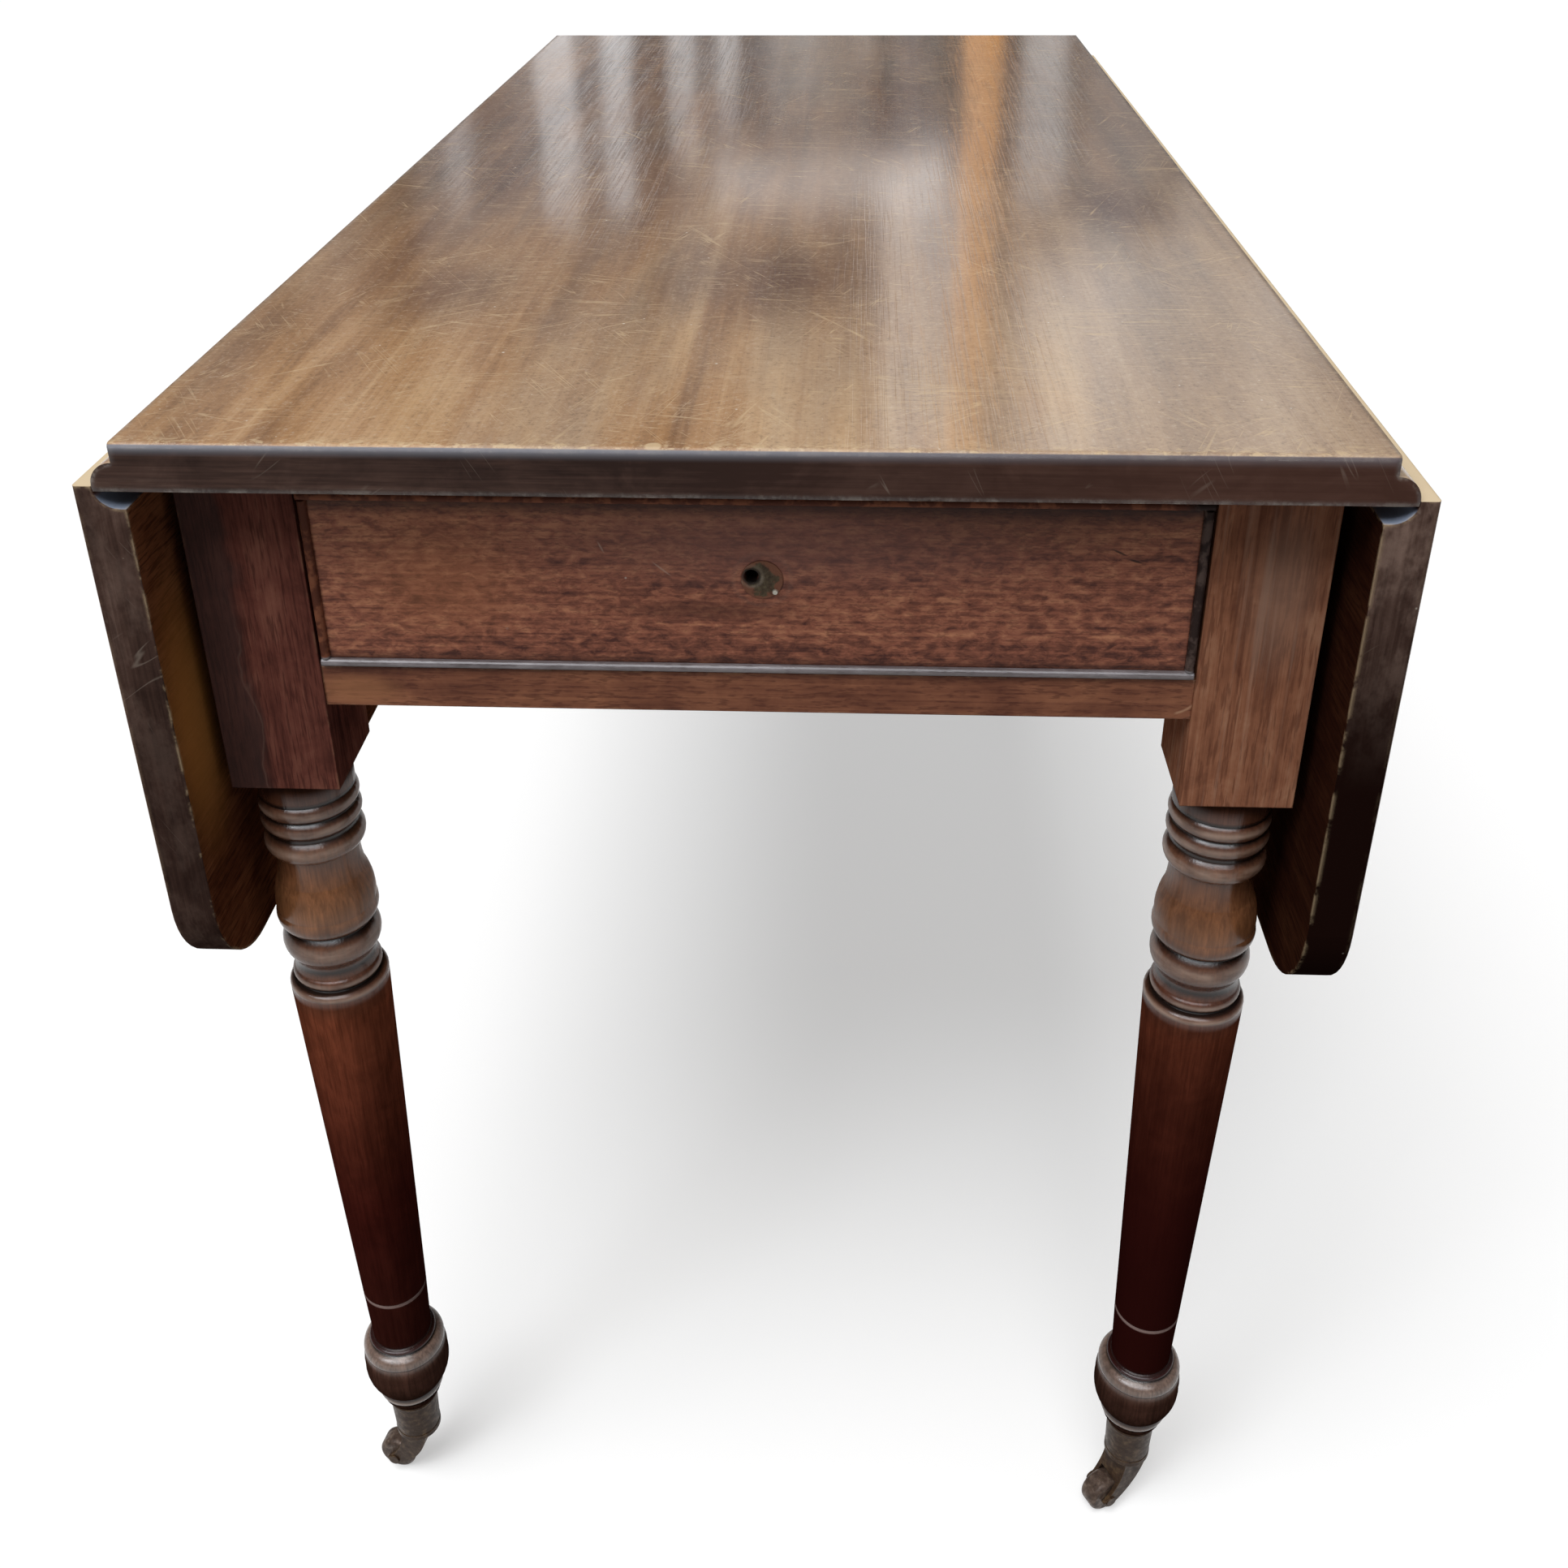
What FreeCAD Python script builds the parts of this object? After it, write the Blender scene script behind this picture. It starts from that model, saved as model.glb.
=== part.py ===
import FreeCAD, Part
import math
import os

# Pembroke table: a drawer-end view faces -Y, +Z is up, and the origin is on the floor at the middle.
# All sizes are in millimetres, with both leaves hanging.

# Top and leaves
table_height = 720.0
top_length = 1067.0
top_width = 508.0
board_thickness = 21.0
board_edge_round = 2.0
end_overhang = 30.0
leaf_reach = 264.0
leaf_corner_radius = 48.0
leaf_drop_angle = 90.0

# Rule joint and its table hinges
ovolo_radius = 10.0
rule_clearance = 0.3
knuckle_radius = 2.5
knuckle_count = 5
knuckle_gap = 0.25
hinge_width = 38.0
hinge_end_distance = 110.0
flap_thickness = 1.8
top_flap_length = 32.0
leaf_flap_length = 62.0
hinge_pin_radius = 1.1
pin_clearance = 0.05
hinge_screw_length = 13.0
hinge_screw_radius = 1.6
screw_head_ratio_share = 2.0
top_screw_share = 0.68
leaf_screw_shares = (0.52, 0.86)
hinge_screw_spread_share = 0.27

# Legs
leg_square = 51.0
leg_to_leaf_gap = 6.5
apron_depth = 118.0
block_below_apron = 46.0
spigot_radius = 11.3

# Turned part of a leg, from the square block down to the caster: each row is an end point as a share of the
# turned height, its radius as a share of half the square, and the bulge of the arc that leads there as a
# share of its chord, outward if positive
turning_start_share = 0.898
turning_shares = (
    (0.030, 0.898, 0.0),
    (0.031, 0.871, 0.0),
    (0.050, 0.871, 0.22),
    (0.051, 0.871, 0.0),
    (0.070, 0.875, 0.23),
    (0.078, 0.878, -0.22),
    (0.102, 0.863, 0.205),
    (0.103, 0.812, 0.0),
    (0.138, 0.843, -0.045),
    (0.179, 0.965, 0.06),
    (0.203, 0.847, 0.16),
    (0.204, 0.824, 0.0),
    (0.241, 0.839, 0.19),
    (0.260, 0.820, -0.12),
    (0.261, 0.831, 0.0),
    (0.274, 0.824, 0.22),
    (0.276, 0.808, 0.0),
    (0.277, 0.910, 0.0),
    (0.285, 0.973, 0.20),
    (0.291, 0.976, 0.0),
    (0.789, 0.712, 0.0),
    (0.790, 0.686, 0.0),
    (0.793, 0.686, 0.0),
    (0.794, 0.710, 0.0),
    (0.874, 0.663, 0.0),
    (0.875, 0.702, 0.0),
    (0.881, 0.733, 0.35),
    (0.882, 0.714, 0.0),
    (0.883, 0.753, 0.0),
    (0.899, 0.922, 0.20),
    (0.900, 0.902, 0.0),
    (0.901, 0.914, 0.0),
    (0.924, 0.957, 0.05),
    (0.967, 0.753, 0.10),
    (0.968, 0.733, 0.0),
    (0.982, 0.682, 0.20),
    (0.983, 0.651, 0.0),
    (0.992, 0.635, 0.25),
    (0.993, 0.604, 0.0),
    (1.000, 0.569, 0.0),
)

# Frame rails
side_rail_thickness = 20.0
end_rail_thickness = 20.0
rail_setback = 1.0
tenon_length = 20.0
tenon_thickness = 8.0
tenon_shoulder = 10.0
drawer_rail_height = 20.0
drawer_rail_depth = 60.0
drawer_rail_tenon_shoulder = 4.0
top_rail_height = 12.0
top_rail_depth = 55.0
dovetail_length = 18.0
dovetail_root = 18.0
dovetail_tip = 24.0
dovetail_setback = 15.0

# Fly rails, their swinging brackets and pins
fly_thickness = 22.0
fly_setback = 3.0
fly_end_length = 51.3
fly_pin_radius = 3.0
finger_count = 5
finger_gap = 0.3
bracket_length = 190.0
bracket_root_length = 42.0
bracket_tip_height = 46.0
bracket_tip_bevel = 9.0
bracket_tip_gap = 1.2
ogee_run_share = 0.325
ogee_rise_share = 0.15
bracket_clearance = 0.5
fly_screw_radius = 2.4
fly_screw_length = 34.0
fly_screw_height = 68.0
fly_screw_from_pin = 110.0

# Runners, kickers, stops, glue blocks and the screws that hold the top
runner_width = 24.0
runner_height = 14.0
guide_height = 20.0
guide_clearance = 0.5
kicker_screw_radius = 2.2
kicker_screw_bite = 12.0
kicker_screw_shares = (0.12, 0.5, 0.88)
glue_block_size = 25.0
glue_block_height = 70.0
stop_width = 28.0
stop_depth = 12.0
stop_height = 5.5
stop_distance = 110.0

# Drawer
drawer_depth = 600.0
drawer_gap = 1.3
drawer_rise = 0.7
drawer_front_thickness = 22.0
drawer_side_thickness = 10.0
drawer_side_drop = 4.0
drawer_back_thickness = 12.0
drawer_back_drop = 8.0
drawer_back_housing = 4.0
drawer_bottom_thickness = 6.0
drawer_bottom_height = 6.5
drawer_groove = 5.0
running_gap = 0.3
bead_thickness = 4.0
bead_depth = 8.0
bead_projection = 2.5
tail_count = 3
tail_length = 14.0
tail_root_share = 0.25
tail_tip_share = 0.36

# Drawer lock and its corroded keyhole plate
lock_width = 56.0
lock_height = 48.0
lock_depth = 11.0
lock_inset = 8.5
bolt_width = 16.0
bolt_thickness = 5.0
bolt_height = 30.0
bolt_travel = 6.0
bolt_clearance = 0.3
keyhole_height = 47.5
keyhole_radius = 3.2
plate_radius = 9.0
plate_thickness = 1.0
plate_proud = 0.4
plate_shift_x = 4.6
plate_shift_z = -1.7
plate_pin_radius = 1.1
plate_pin_length = 8.0
plate_pin_proud = 0.9
plate_pin_share = 0.62

# Casters
wheel_radius = 11.5
wheel_width = 13.0
tread_width = 6.4
wheel_shoulder = 2.9
axle_radius = 2.0
axle_head_radius = 3.4
axle_head_thickness = 0.9
caster_trail = 16.0
horn_plate_radius = 13.4
horn_plate_thickness = 3.4
horn_plate_lift = 29.8
horn_cheek_thickness = 2.4
horn_cheek_gap = 0.5
horn_boss_radius = 4.6
horn_slot_gap = 1.5
horn_root_front = 8.0
horn_root_back = 9.0
horn_throat_share = 0.12
horn_sweep_share = 0.12
spindle_radius = 3.0
spindle_head_radius = 5.0
spindle_head_thickness = 2.0
caster_gap = 0.3
socket_floor = 4.0
socket_height = 27.0
socket_wall = 2.6
socket_taper = 0.8
socket_rim = 0.7
socket_rim_height = 2.5
spigot_gap = 0.7
caster_angles = {
    "front_left": 168.0,
    "front_right": 210.0,
    "back_left": 215.0,
    "back_right": 150.0,
}

# One overrun for all cuts that go out through a face, and the middle of a quarter circle
overrun = 1.0
diagonal_share = math.sqrt(0.5)

# Places that follow from the sizes above
vec = FreeCAD.Vector
up = vec(0, 0, 1)
half_length = top_length / 2
joint_x = top_width / 2
underside = table_height - board_thickness
pin_z = underside + knuckle_radius
cove_radius = ovolo_radius + rule_clearance
half_leg = leg_square / 2
leg_x = joint_x - knuckle_radius - leg_to_leaf_gap - half_leg
leg_y = half_length - end_overhang - half_leg
inner_x = leg_x - half_leg
inner_y = leg_y - half_leg
rail_bottom = underside - apron_depth
block_bottom = rail_bottom - block_below_apron
fly_outer = leg_x + half_leg - fly_setback
side_rail_outer = fly_outer - fly_thickness
side_rail_inner = side_rail_outer - side_rail_thickness
fly_end_start = inner_y - fly_end_length
bracket_tip_y = fly_end_start - bracket_tip_gap
fly_pin_distance = bracket_tip_y - bracket_length
fly_screw_distance = fly_pin_distance - fly_screw_from_pin
front_y = -(leg_y + half_leg - rail_setback)
drawer_rail_top = rail_bottom + drawer_rail_height
top_rail_bottom = underside - top_rail_height
drawer_half = inner_x - drawer_gap
drawer_bottom = drawer_rail_top + drawer_rise
drawer_top = top_rail_bottom - running_gap
drawer_face_back = front_y + drawer_front_thickness
axle_z = wheel_radius
horn_plate_bottom = wheel_radius + horn_plate_lift
horn_plate_top = horn_plate_bottom + horn_plate_thickness
socket_bottom = horn_plate_top + caster_gap
socket_inside = socket_bottom + socket_floor
socket_top = socket_bottom + socket_height
spindle_top = socket_inside + caster_gap + spindle_head_thickness
hinge_places = (-(half_length - hinge_end_distance), 0, half_length - hinge_end_distance)


def block(x, y, z):
    """Rectangular block between three pairs of coordinates."""
    size = [abs(pair[1] - pair[0]) for pair in (x, y, z)]
    return Part.makeBox(size[0], size[1], size[2], vec(min(x), min(y), min(z)))


def rod(radius, start, end):
    """Round bar between two points."""
    along = end.sub(start)
    return Part.makeCylinder(radius, along.Length, start, along)


def prism(points, along):
    """Straight-sided outline carried along a direction."""
    return Part.Face(Part.makePolygon(points + points[:1])).extrude(along)


def outlined(edges, along):
    """Outline of lines and arcs carried along a direction."""
    return Part.Face(Part.Wire(Part.__sortEdges__(edges))).extrude(along)


def line(a, b):
    return Part.makeLine(a, b)


def arc(a, b, c):
    return Part.Arc(a, b, c).toShape()


def bowed(start, end, bulge_share):
    """Edge in an XZ plane that leaves its chord by a share of its length, straight where the share is zero."""
    if not bulge_share:
        return line(start, end)
    chord = end.sub(start)
    sideways = vec(-chord.z, 0, chord.x)
    return arc(start, (start + end) / 2 + sideways * bulge_share, end)


def mirror_x(shape):
    return shape.mirror(vec(0, 0, 0), vec(1, 0, 0))


def mirror_y(shape):
    return shape.mirror(vec(0, 0, 0), vec(0, 1, 0))


def both_sides(shapes):
    """The shapes of the right side with their copies on the left."""
    return shapes + [mirror_x(shape) for shape in shapes]


def fused(shapes):
    whole = shapes[0].multiFuse(shapes[1:]) if len(shapes) > 1 else shapes[0]
    return whole.removeSplitter()


def screw(radius, length, place, along):
    """Countersunk screw whose flat head lies at the given place and whose shank runs along a direction."""
    head_radius = radius * screw_head_ratio_share
    head_depth = head_radius - radius
    head = Part.makeCone(head_radius, radius, head_depth, place, along)
    neck = place + along * head_depth
    return fused([head, rod(radius, neck, place + along * length)])


def save(name, shape):
    shape.exportStep("parts/" + name + ".step")


def on_pin(angle, radius):
    """Point of the rule joint's section, at an angle above the horizontal round the right-hand hinge pin."""
    turn = math.radians(angle)
    return vec(joint_x + radius * math.cos(turn), -half_length, pin_z + radius * math.sin(turn))


def round_upper_edges(board, is_kept_sharp):
    """Ease the upper arrises of a board, apart from those at the joint."""
    edges = []
    for edge in board.Edges:
        level = all(abs(v.Z - table_height) < pin_clearance for v in edge.Vertexes)
        if level and not is_kept_sharp(edge):
            edges.append(edge)
    return board.makeFillet(board_edge_round, edges)


def runs_lengthwise(edge):
    return abs(edge.Vertexes[0].Y - edge.Vertexes[-1].Y) > half_length


# Table hinges: shapes for the right side, with the leaf raised level

def knuckle_spans(centre, first):
    """Lengths along the pin that belong to one flap, taking every second knuckle from the first."""
    pitch = hinge_width / knuckle_count
    spans = []
    for index in range(first, knuckle_count, 2):
        start = centre - hinge_width / 2 + index * pitch
        spans.append((start + knuckle_gap / 2, start + pitch - knuckle_gap / 2))
    return spans


def hinge_flap(centre, first, side, length, screws):
    """One flap with its knuckles, lying on the underside and reaching to one side of the pin."""
    z = (underside, underside + flap_thickness)
    y = (centre - hinge_width / 2, centre + hinge_width / 2)
    near = joint_x + side * (knuckle_radius + rule_clearance)
    pieces = [block((near, joint_x + side * length), y, z)]
    for span in knuckle_spans(centre, first):
        pieces.append(block((joint_x, near), span, z))
        pieces.append(rod(knuckle_radius, vec(joint_x, span[0], pin_z), vec(joint_x, span[1], pin_z)))
    bore = rod(hinge_pin_radius + pin_clearance, vec(joint_x, y[0], pin_z), vec(joint_x, y[1], pin_z))
    return fused(pieces).cut(bore).cut(Part.makeCompound(screws))


def hinge_pin(centre):
    reach = hinge_width / 2
    return rod(hinge_pin_radius, vec(joint_x, centre - reach, pin_z), vec(joint_x, centre + reach, pin_z))


def top_flap_screws(centre):
    x = joint_x - top_flap_length * top_screw_share
    spread = hinge_width * hinge_screw_spread_share
    places = [vec(x, centre + way * spread, underside) for way in (-1, 1)]
    return [screw(hinge_screw_radius, hinge_screw_length, place, up) for place in places]


def leaf_flap_screws(centre):
    spread = hinge_width * hinge_screw_spread_share
    places = []
    for way, share in zip((-1, 1), leaf_screw_shares):
        places.append(vec(joint_x + leaf_flap_length * share, centre + way * spread, underside))
    return [screw(hinge_screw_radius, hinge_screw_length, place, up) for place in places]


def flap_recess(centre, side, length):
    """Housing for one flap in the underside of its board."""
    y = (centre - hinge_width / 2 - rule_clearance, centre + hinge_width / 2 + rule_clearance)
    far = joint_x + side * (length + rule_clearance)
    return block((joint_x, far), y, (underside - overrun, underside + flap_thickness))


def knuckle_notch(centre):
    """Notch through the lower half of the ovolo, where the knuckles turn."""
    y = (centre - hinge_width / 2 - rule_clearance, centre + hinge_width / 2 + rule_clearance)
    x = (joint_x - knuckle_radius - rule_clearance, joint_x + cove_radius)
    return block(x, y, (underside - overrun, pin_z + knuckle_radius + rule_clearance))


def hang(shape):
    """Turn a raised leaf, or a piece on it, down to its hanging place."""
    return shape.rotated(vec(joint_x, 0, pin_z), vec(0, 1, 0), leaf_drop_angle)


# Top board and leaves

def top_board(screws):
    lowest = -math.degrees(math.asin(knuckle_radius / ovolo_radius))
    crown = on_pin(90, ovolo_radius)
    middle = on_pin((90 + lowest) / 2, ovolo_radius)
    foot = on_pin(lowest, ovolo_radius)
    arris = vec(joint_x, -half_length, table_height)
    right = [line(arris, crown), arc(crown, middle, foot)]
    edges = both_sides(right)
    edges.append(line(arris, vec(-joint_x, -half_length, table_height)))
    edges.append(line(foot, vec(-foot.x, -half_length, foot.z)))
    board = outlined(edges, vec(0, top_length, 0))
    board = round_upper_edges(board, runs_lengthwise)
    housings = []
    for centre in hinge_places:
        housings += [flap_recess(centre, -1, top_flap_length), knuckle_notch(centre)]
    return board.cut(Part.makeCompound(both_sides(housings))).cut(Part.makeCompound(screws))


def leaf_board(screws):
    """Right leaf, raised level: coved joint edge, square fillet and two round free corners."""
    gap_angle = math.degrees(math.acos(rule_clearance / cove_radius))
    crown = on_pin(gap_angle, cove_radius)
    middle = on_pin(gap_angle / 2, cove_radius)
    foot = on_pin(0, cove_radius)
    free_x = joint_x + leaf_reach
    arris = vec(crown.x, -half_length, table_height)
    heel = vec(foot.x, -half_length, underside)
    outer = [vec(free_x, -half_length, z) for z in (table_height, underside)]
    edges = [arc(crown, middle, foot), line(foot, heel), line(heel, outer[1])]
    edges += [line(outer[1], outer[0]), line(outer[0], arris), line(arris, crown)]
    board = outlined(edges, vec(0, top_length, 0))
    board = board.common(leaf_outline(free_x))
    board = round_upper_edges(board, lambda edge: max(v.X for v in edge.Vertexes) < joint_x + cove_radius)
    housings = [flap_recess(centre, 1, leaf_flap_length) for centre in hinge_places]
    return board.cut(Part.makeCompound(housings)).cut(Part.makeCompound(screws))


def leaf_outline(free_x):
    """Plan of the leaf with its free corners rounded, as a block through the board's thickness."""
    radius = leaf_corner_radius
    cut = radius * diagonal_share
    near = [vec(joint_x, way * half_length, underside) for way in (-1, 1)]
    start = [vec(free_x - radius, way * half_length, underside) for way in (-1, 1)]
    stop = [vec(free_x, way * (half_length - radius), underside) for way in (-1, 1)]
    middle = []
    for way in (-1, 1):
        middle.append(vec(free_x - radius + cut, way * (half_length - radius + cut), underside))
    edges = [line(near[0], near[1]), line(stop[0], stop[1])]
    for index in (0, 1):
        edges += [line(near[index], start[index]), arc(start[index], middle[index], stop[index])]
    return outlined(edges, vec(0, 0, board_thickness))


# Legs

def turned_outline():
    """Edges of half a leg's turned part, from the block's underside down, in the XZ plane."""
    height = block_bottom - socket_top
    place = vec(half_leg * turning_start_share, 0, block_bottom)
    edges = [line(vec(0, 0, block_bottom), place)]
    for drop_share, radius_share, bulge_share in turning_shares:
        end = vec(half_leg * radius_share, 0, block_bottom - height * drop_share)
        edges.append(bowed(place, end, bulge_share))
        place = end
    spigot_bottom = spindle_top + spigot_gap
    steps = [vec(spigot_radius, 0, place.z), vec(spigot_radius, 0, spigot_bottom), vec(0, 0, spigot_bottom)]
    for step in steps:
        edges.append(line(place, step))
        place = step
    edges.append(line(place, vec(0, 0, block_bottom)))
    return edges


def leg():
    """One leg standing at the origin."""
    turned = Part.Face(Part.Wire(turned_outline())).revolve(vec(0, 0, 0), up, 360)
    square = block((-half_leg, half_leg), (-half_leg, half_leg), (block_bottom, underside))
    return fused([square, turned])


# Frame

def side_rail():
    """Right-hand inner rail with a tenon at each end."""
    z = (rail_bottom, underside)
    middle = (side_rail_outer + side_rail_inner) / 2
    body = block((side_rail_inner, side_rail_outer), (-inner_y, inner_y), z)
    tenon_x = (middle - tenon_thickness / 2, middle + tenon_thickness / 2)
    reach = inner_y + tenon_length
    tenon = block(tenon_x, (-reach, reach), (rail_bottom + tenon_shoulder, underside - tenon_shoulder))
    return fused([body, tenon])


def back_rail():
    outer = leg_y + half_leg - rail_setback
    middle = outer - end_rail_thickness / 2
    body = block((-inner_x, inner_x), (outer - end_rail_thickness, outer), (rail_bottom, underside))
    tenon_y = (middle - tenon_thickness / 2, middle + tenon_thickness / 2)
    reach = inner_x + tenon_length
    tenon = block((-reach, reach), tenon_y, (rail_bottom + tenon_shoulder, underside - tenon_shoulder))
    return fused([body, tenon])


def drawer_rail():
    body = block((-inner_x, inner_x), (front_y, front_y + drawer_rail_depth), (rail_bottom, drawer_rail_top))
    middle = front_y + dovetail_setback
    tenon_y = (middle - tenon_thickness / 2, middle + tenon_thickness / 2)
    reach = inner_x + tenon_length
    shoulder = drawer_rail_tenon_shoulder
    tenon = block((-reach, reach), tenon_y, (rail_bottom + shoulder, drawer_rail_top - shoulder))
    return fused([body, tenon])


def top_rail(bolt):
    """Thin rail over the drawer, dovetailed into the leg tops and mortised for the lock's bolt."""
    body = block((-inner_x, inner_x), (front_y, front_y + top_rail_depth), (top_rail_bottom, underside))
    middle = front_y + dovetail_setback
    ends = ((inner_x, dovetail_root / 2), (inner_x + dovetail_length, dovetail_tip / 2))
    points = [vec(ends[0][0], middle - ends[0][1], top_rail_bottom)]
    points.append(vec(ends[1][0], middle - ends[1][1], top_rail_bottom))
    points.append(vec(ends[1][0], middle + ends[1][1], top_rail_bottom))
    points.append(vec(ends[0][0], middle + ends[0][1], top_rail_bottom))
    tail = prism(points, vec(0, 0, top_rail_height))
    box = bolt.BoundBox
    x = (box.XMin - bolt_clearance, box.XMax + bolt_clearance)
    y = (box.YMin - bolt_clearance, box.YMax + bolt_clearance)
    mortise = block(x, y, (top_rail_bottom - overrun, box.ZMax + bolt_travel + overrun))
    return fused([body, tail, mirror_x(tail)]).cut(mortise)


def runner():
    """Right-hand drawer runner with its guide strip."""
    top = drawer_bottom - running_gap
    y = (front_y + drawer_rail_depth, inner_y)
    shelf = block((side_rail_inner - runner_width, side_rail_inner), y, (top - runner_height, top))
    guide = block((drawer_half + guide_clearance, side_rail_inner), y, (top, top + guide_height))
    return fused([shelf, guide])


def kicker(screws):
    x = (side_rail_inner - runner_width, side_rail_inner)
    y = (front_y + top_rail_depth, inner_y)
    return block(x, y, (top_rail_bottom, underside)).cut(Part.makeCompound(screws))


def kicker_screws():
    """Screws up through the right-hand kicker into the top."""
    x = side_rail_inner - runner_width / 2
    start = front_y + top_rail_depth
    length = top_rail_height + kicker_screw_bite
    places = [vec(x, start + share * (inner_y - start), top_rail_bottom) for share in kicker_screw_shares]
    return [screw(kicker_screw_radius, length, place, up) for place in places]


def glue_block():
    """Three-cornered block in the right-hand back corner."""
    corner_y = leg_y + half_leg - rail_setback - end_rail_thickness
    bottom = drawer_bottom + guide_height
    points = [vec(inner_x, corner_y, bottom), vec(inner_x - glue_block_size, corner_y, bottom)]
    points.append(vec(inner_x, corner_y - glue_block_size, bottom))
    return prism(points, vec(0, 0, min(glue_block_height, top_rail_bottom - bottom)))


def drawer_stop():
    """Right-hand stop on the drawer rail, just behind the drawer front."""
    x = (stop_distance - stop_width / 2, stop_distance + stop_width / 2)
    y = (drawer_face_back + running_gap, drawer_face_back + running_gap + stop_depth)
    return block(x, y, (drawer_rail_top, drawer_rail_top + stop_height))


# Fly rails and brackets, for the right side and its back half

def finger_levels(first):
    """Heights of every second finger of the wooden knuckle joint, from the first."""
    pitch = apron_depth / finger_count
    levels = []
    for index in range(first, finger_count, 2):
        bottom = rail_bottom + index * pitch
        levels.append((bottom + finger_gap / 2, bottom + pitch - finger_gap / 2))
    return levels


def bracket_middle():
    return fly_outer - (fly_thickness - bracket_clearance) / 2


def finger_cylinders(levels, radius):
    shapes = []
    for level in levels:
        start = vec(bracket_middle(), fly_pin_distance, level[0])
        shapes.append(rod(radius, start, vec(start.x, start.y, level[1])))
    return shapes


def widened(levels):
    """The same levels with a gap above and below."""
    return [(low - finger_gap, high + finger_gap) for low, high in levels]


def fly_pin(radius):
    start = vec(bracket_middle(), fly_pin_distance, rail_bottom)
    return rod(radius, start, vec(start.x, start.y, underside - bracket_clearance))


def finger_radius():
    return (fly_thickness - bracket_clearance) / 2


def fly_bracket():
    """Swinging bracket: fingers on the pin, a deep root, and an ogee underside that thins to the tip."""
    x = fly_outer
    inside = side_rail_outer + bracket_clearance
    top = underside - bracket_clearance
    tip_y = bracket_tip_y
    root_y = fly_pin_distance + bracket_root_length
    low = vec(x, root_y, rail_bottom)
    high = vec(x, tip_y - bracket_tip_bevel, top - bracket_tip_height)
    middle = (low + high) / 2
    bend = vec(0, (high.y - low.y) * ogee_run_share, (high.z - low.z) * ogee_rise_share)
    lower_arc = arc(low, low + bend, middle)
    upper_arc = arc(middle, high - bend, high)
    corners = [high, vec(x, tip_y, top - bracket_tip_height + bracket_tip_bevel), vec(x, tip_y, top)]
    corners += [vec(x, fly_pin_distance, top), vec(x, fly_pin_distance, rail_bottom), low]
    edges = [lower_arc, upper_arc]
    edges += [line(corners[index], corners[index + 1]) for index in range(len(corners) - 1)]
    body = outlined(edges, vec(inside - x, 0, 0))
    fixed_levels = widened(finger_levels(0))
    body = body.cut(Part.makeCompound(finger_cylinders(fixed_levels, finger_radius() + finger_gap)))
    fingers = finger_cylinders(finger_levels(1), finger_radius())
    return fused([body] + fingers).cut(fly_pin(fly_pin_radius + pin_clearance))


def fly_rail(screws):
    """Fixed parts of the right-hand fly rail: the middle length and an end piece beside each leg."""
    x = (side_rail_outer, fly_outer)
    z = (rail_bottom, underside)
    middle = block(x, (-fly_pin_distance, fly_pin_distance), z)
    moving_levels = widened(finger_levels(1))
    clearances = finger_cylinders(moving_levels, finger_radius() + finger_gap)
    fingers = finger_cylinders(finger_levels(0), finger_radius())
    middle = middle.cut(Part.makeCompound(clearances + [mirror_y(shape) for shape in clearances]))
    middle = fused([middle] + fingers + [mirror_y(shape) for shape in fingers])
    pins = [fly_pin(fly_pin_radius), mirror_y(fly_pin(fly_pin_radius))]
    middle = middle.cut(Part.makeCompound(pins + screws))
    end_piece = block(x, (fly_end_start, inner_y), z)
    ends = [end_piece, mirror_y(end_piece)]
    return Part.makeCompound([middle] + [piece.cut(Part.makeCompound(screws)) for piece in ends])


def fly_screws():
    """Screws from the right-hand side rail into the fixed parts of the fly rail."""
    end_y = (fly_end_start + inner_y) / 2
    z = rail_bottom + fly_screw_height
    places = [vec(side_rail_inner, y, z) for y in (-end_y, -fly_screw_distance, fly_screw_distance, end_y)]
    return [screw(fly_screw_radius, fly_screw_length, place, vec(1, 0, 0)) for place in places]


# Drawer

def bead_strip(start, end, inward):
    """Cockbead between two points on the drawer's face, with its round nose standing out to the front."""
    thick = inward * bead_thickness
    nose = vec(0, bead_thickness / 2 - bead_projection, 0)
    back = vec(0, bead_depth, 0)
    tip = start + thick / 2 + vec(0, -bead_projection, 0)
    edges = [line(start + nose, start + back), line(start + back, start + back + thick)]
    edges += [line(start + back + thick, start + nose + thick), arc(start + nose, tip, start + nose + thick)]
    return outlined(edges, end.sub(start))


def cockbeads():
    """Four strips round the drawer front, the upright ones between the level ones."""
    low = drawer_bottom
    high = drawer_top
    corners = [vec(x, front_y, z) for x, z in ((-drawer_half, low), (drawer_half, low))]
    bottom = bead_strip(corners[0], corners[1], up)
    top = bead_strip(vec(-drawer_half, front_y, high), vec(drawer_half, front_y, high), up * -1)
    side_x = (-drawer_half, drawer_half)
    ends = (low + bead_thickness, high - bead_thickness)
    sides = []
    for x in side_x:
        inward = vec(-math.copysign(1, x), 0, 0)
        sides.append(bead_strip(vec(x, front_y, ends[0]), vec(x, front_y, ends[1]), inward))
    return [bottom, top] + sides


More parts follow.
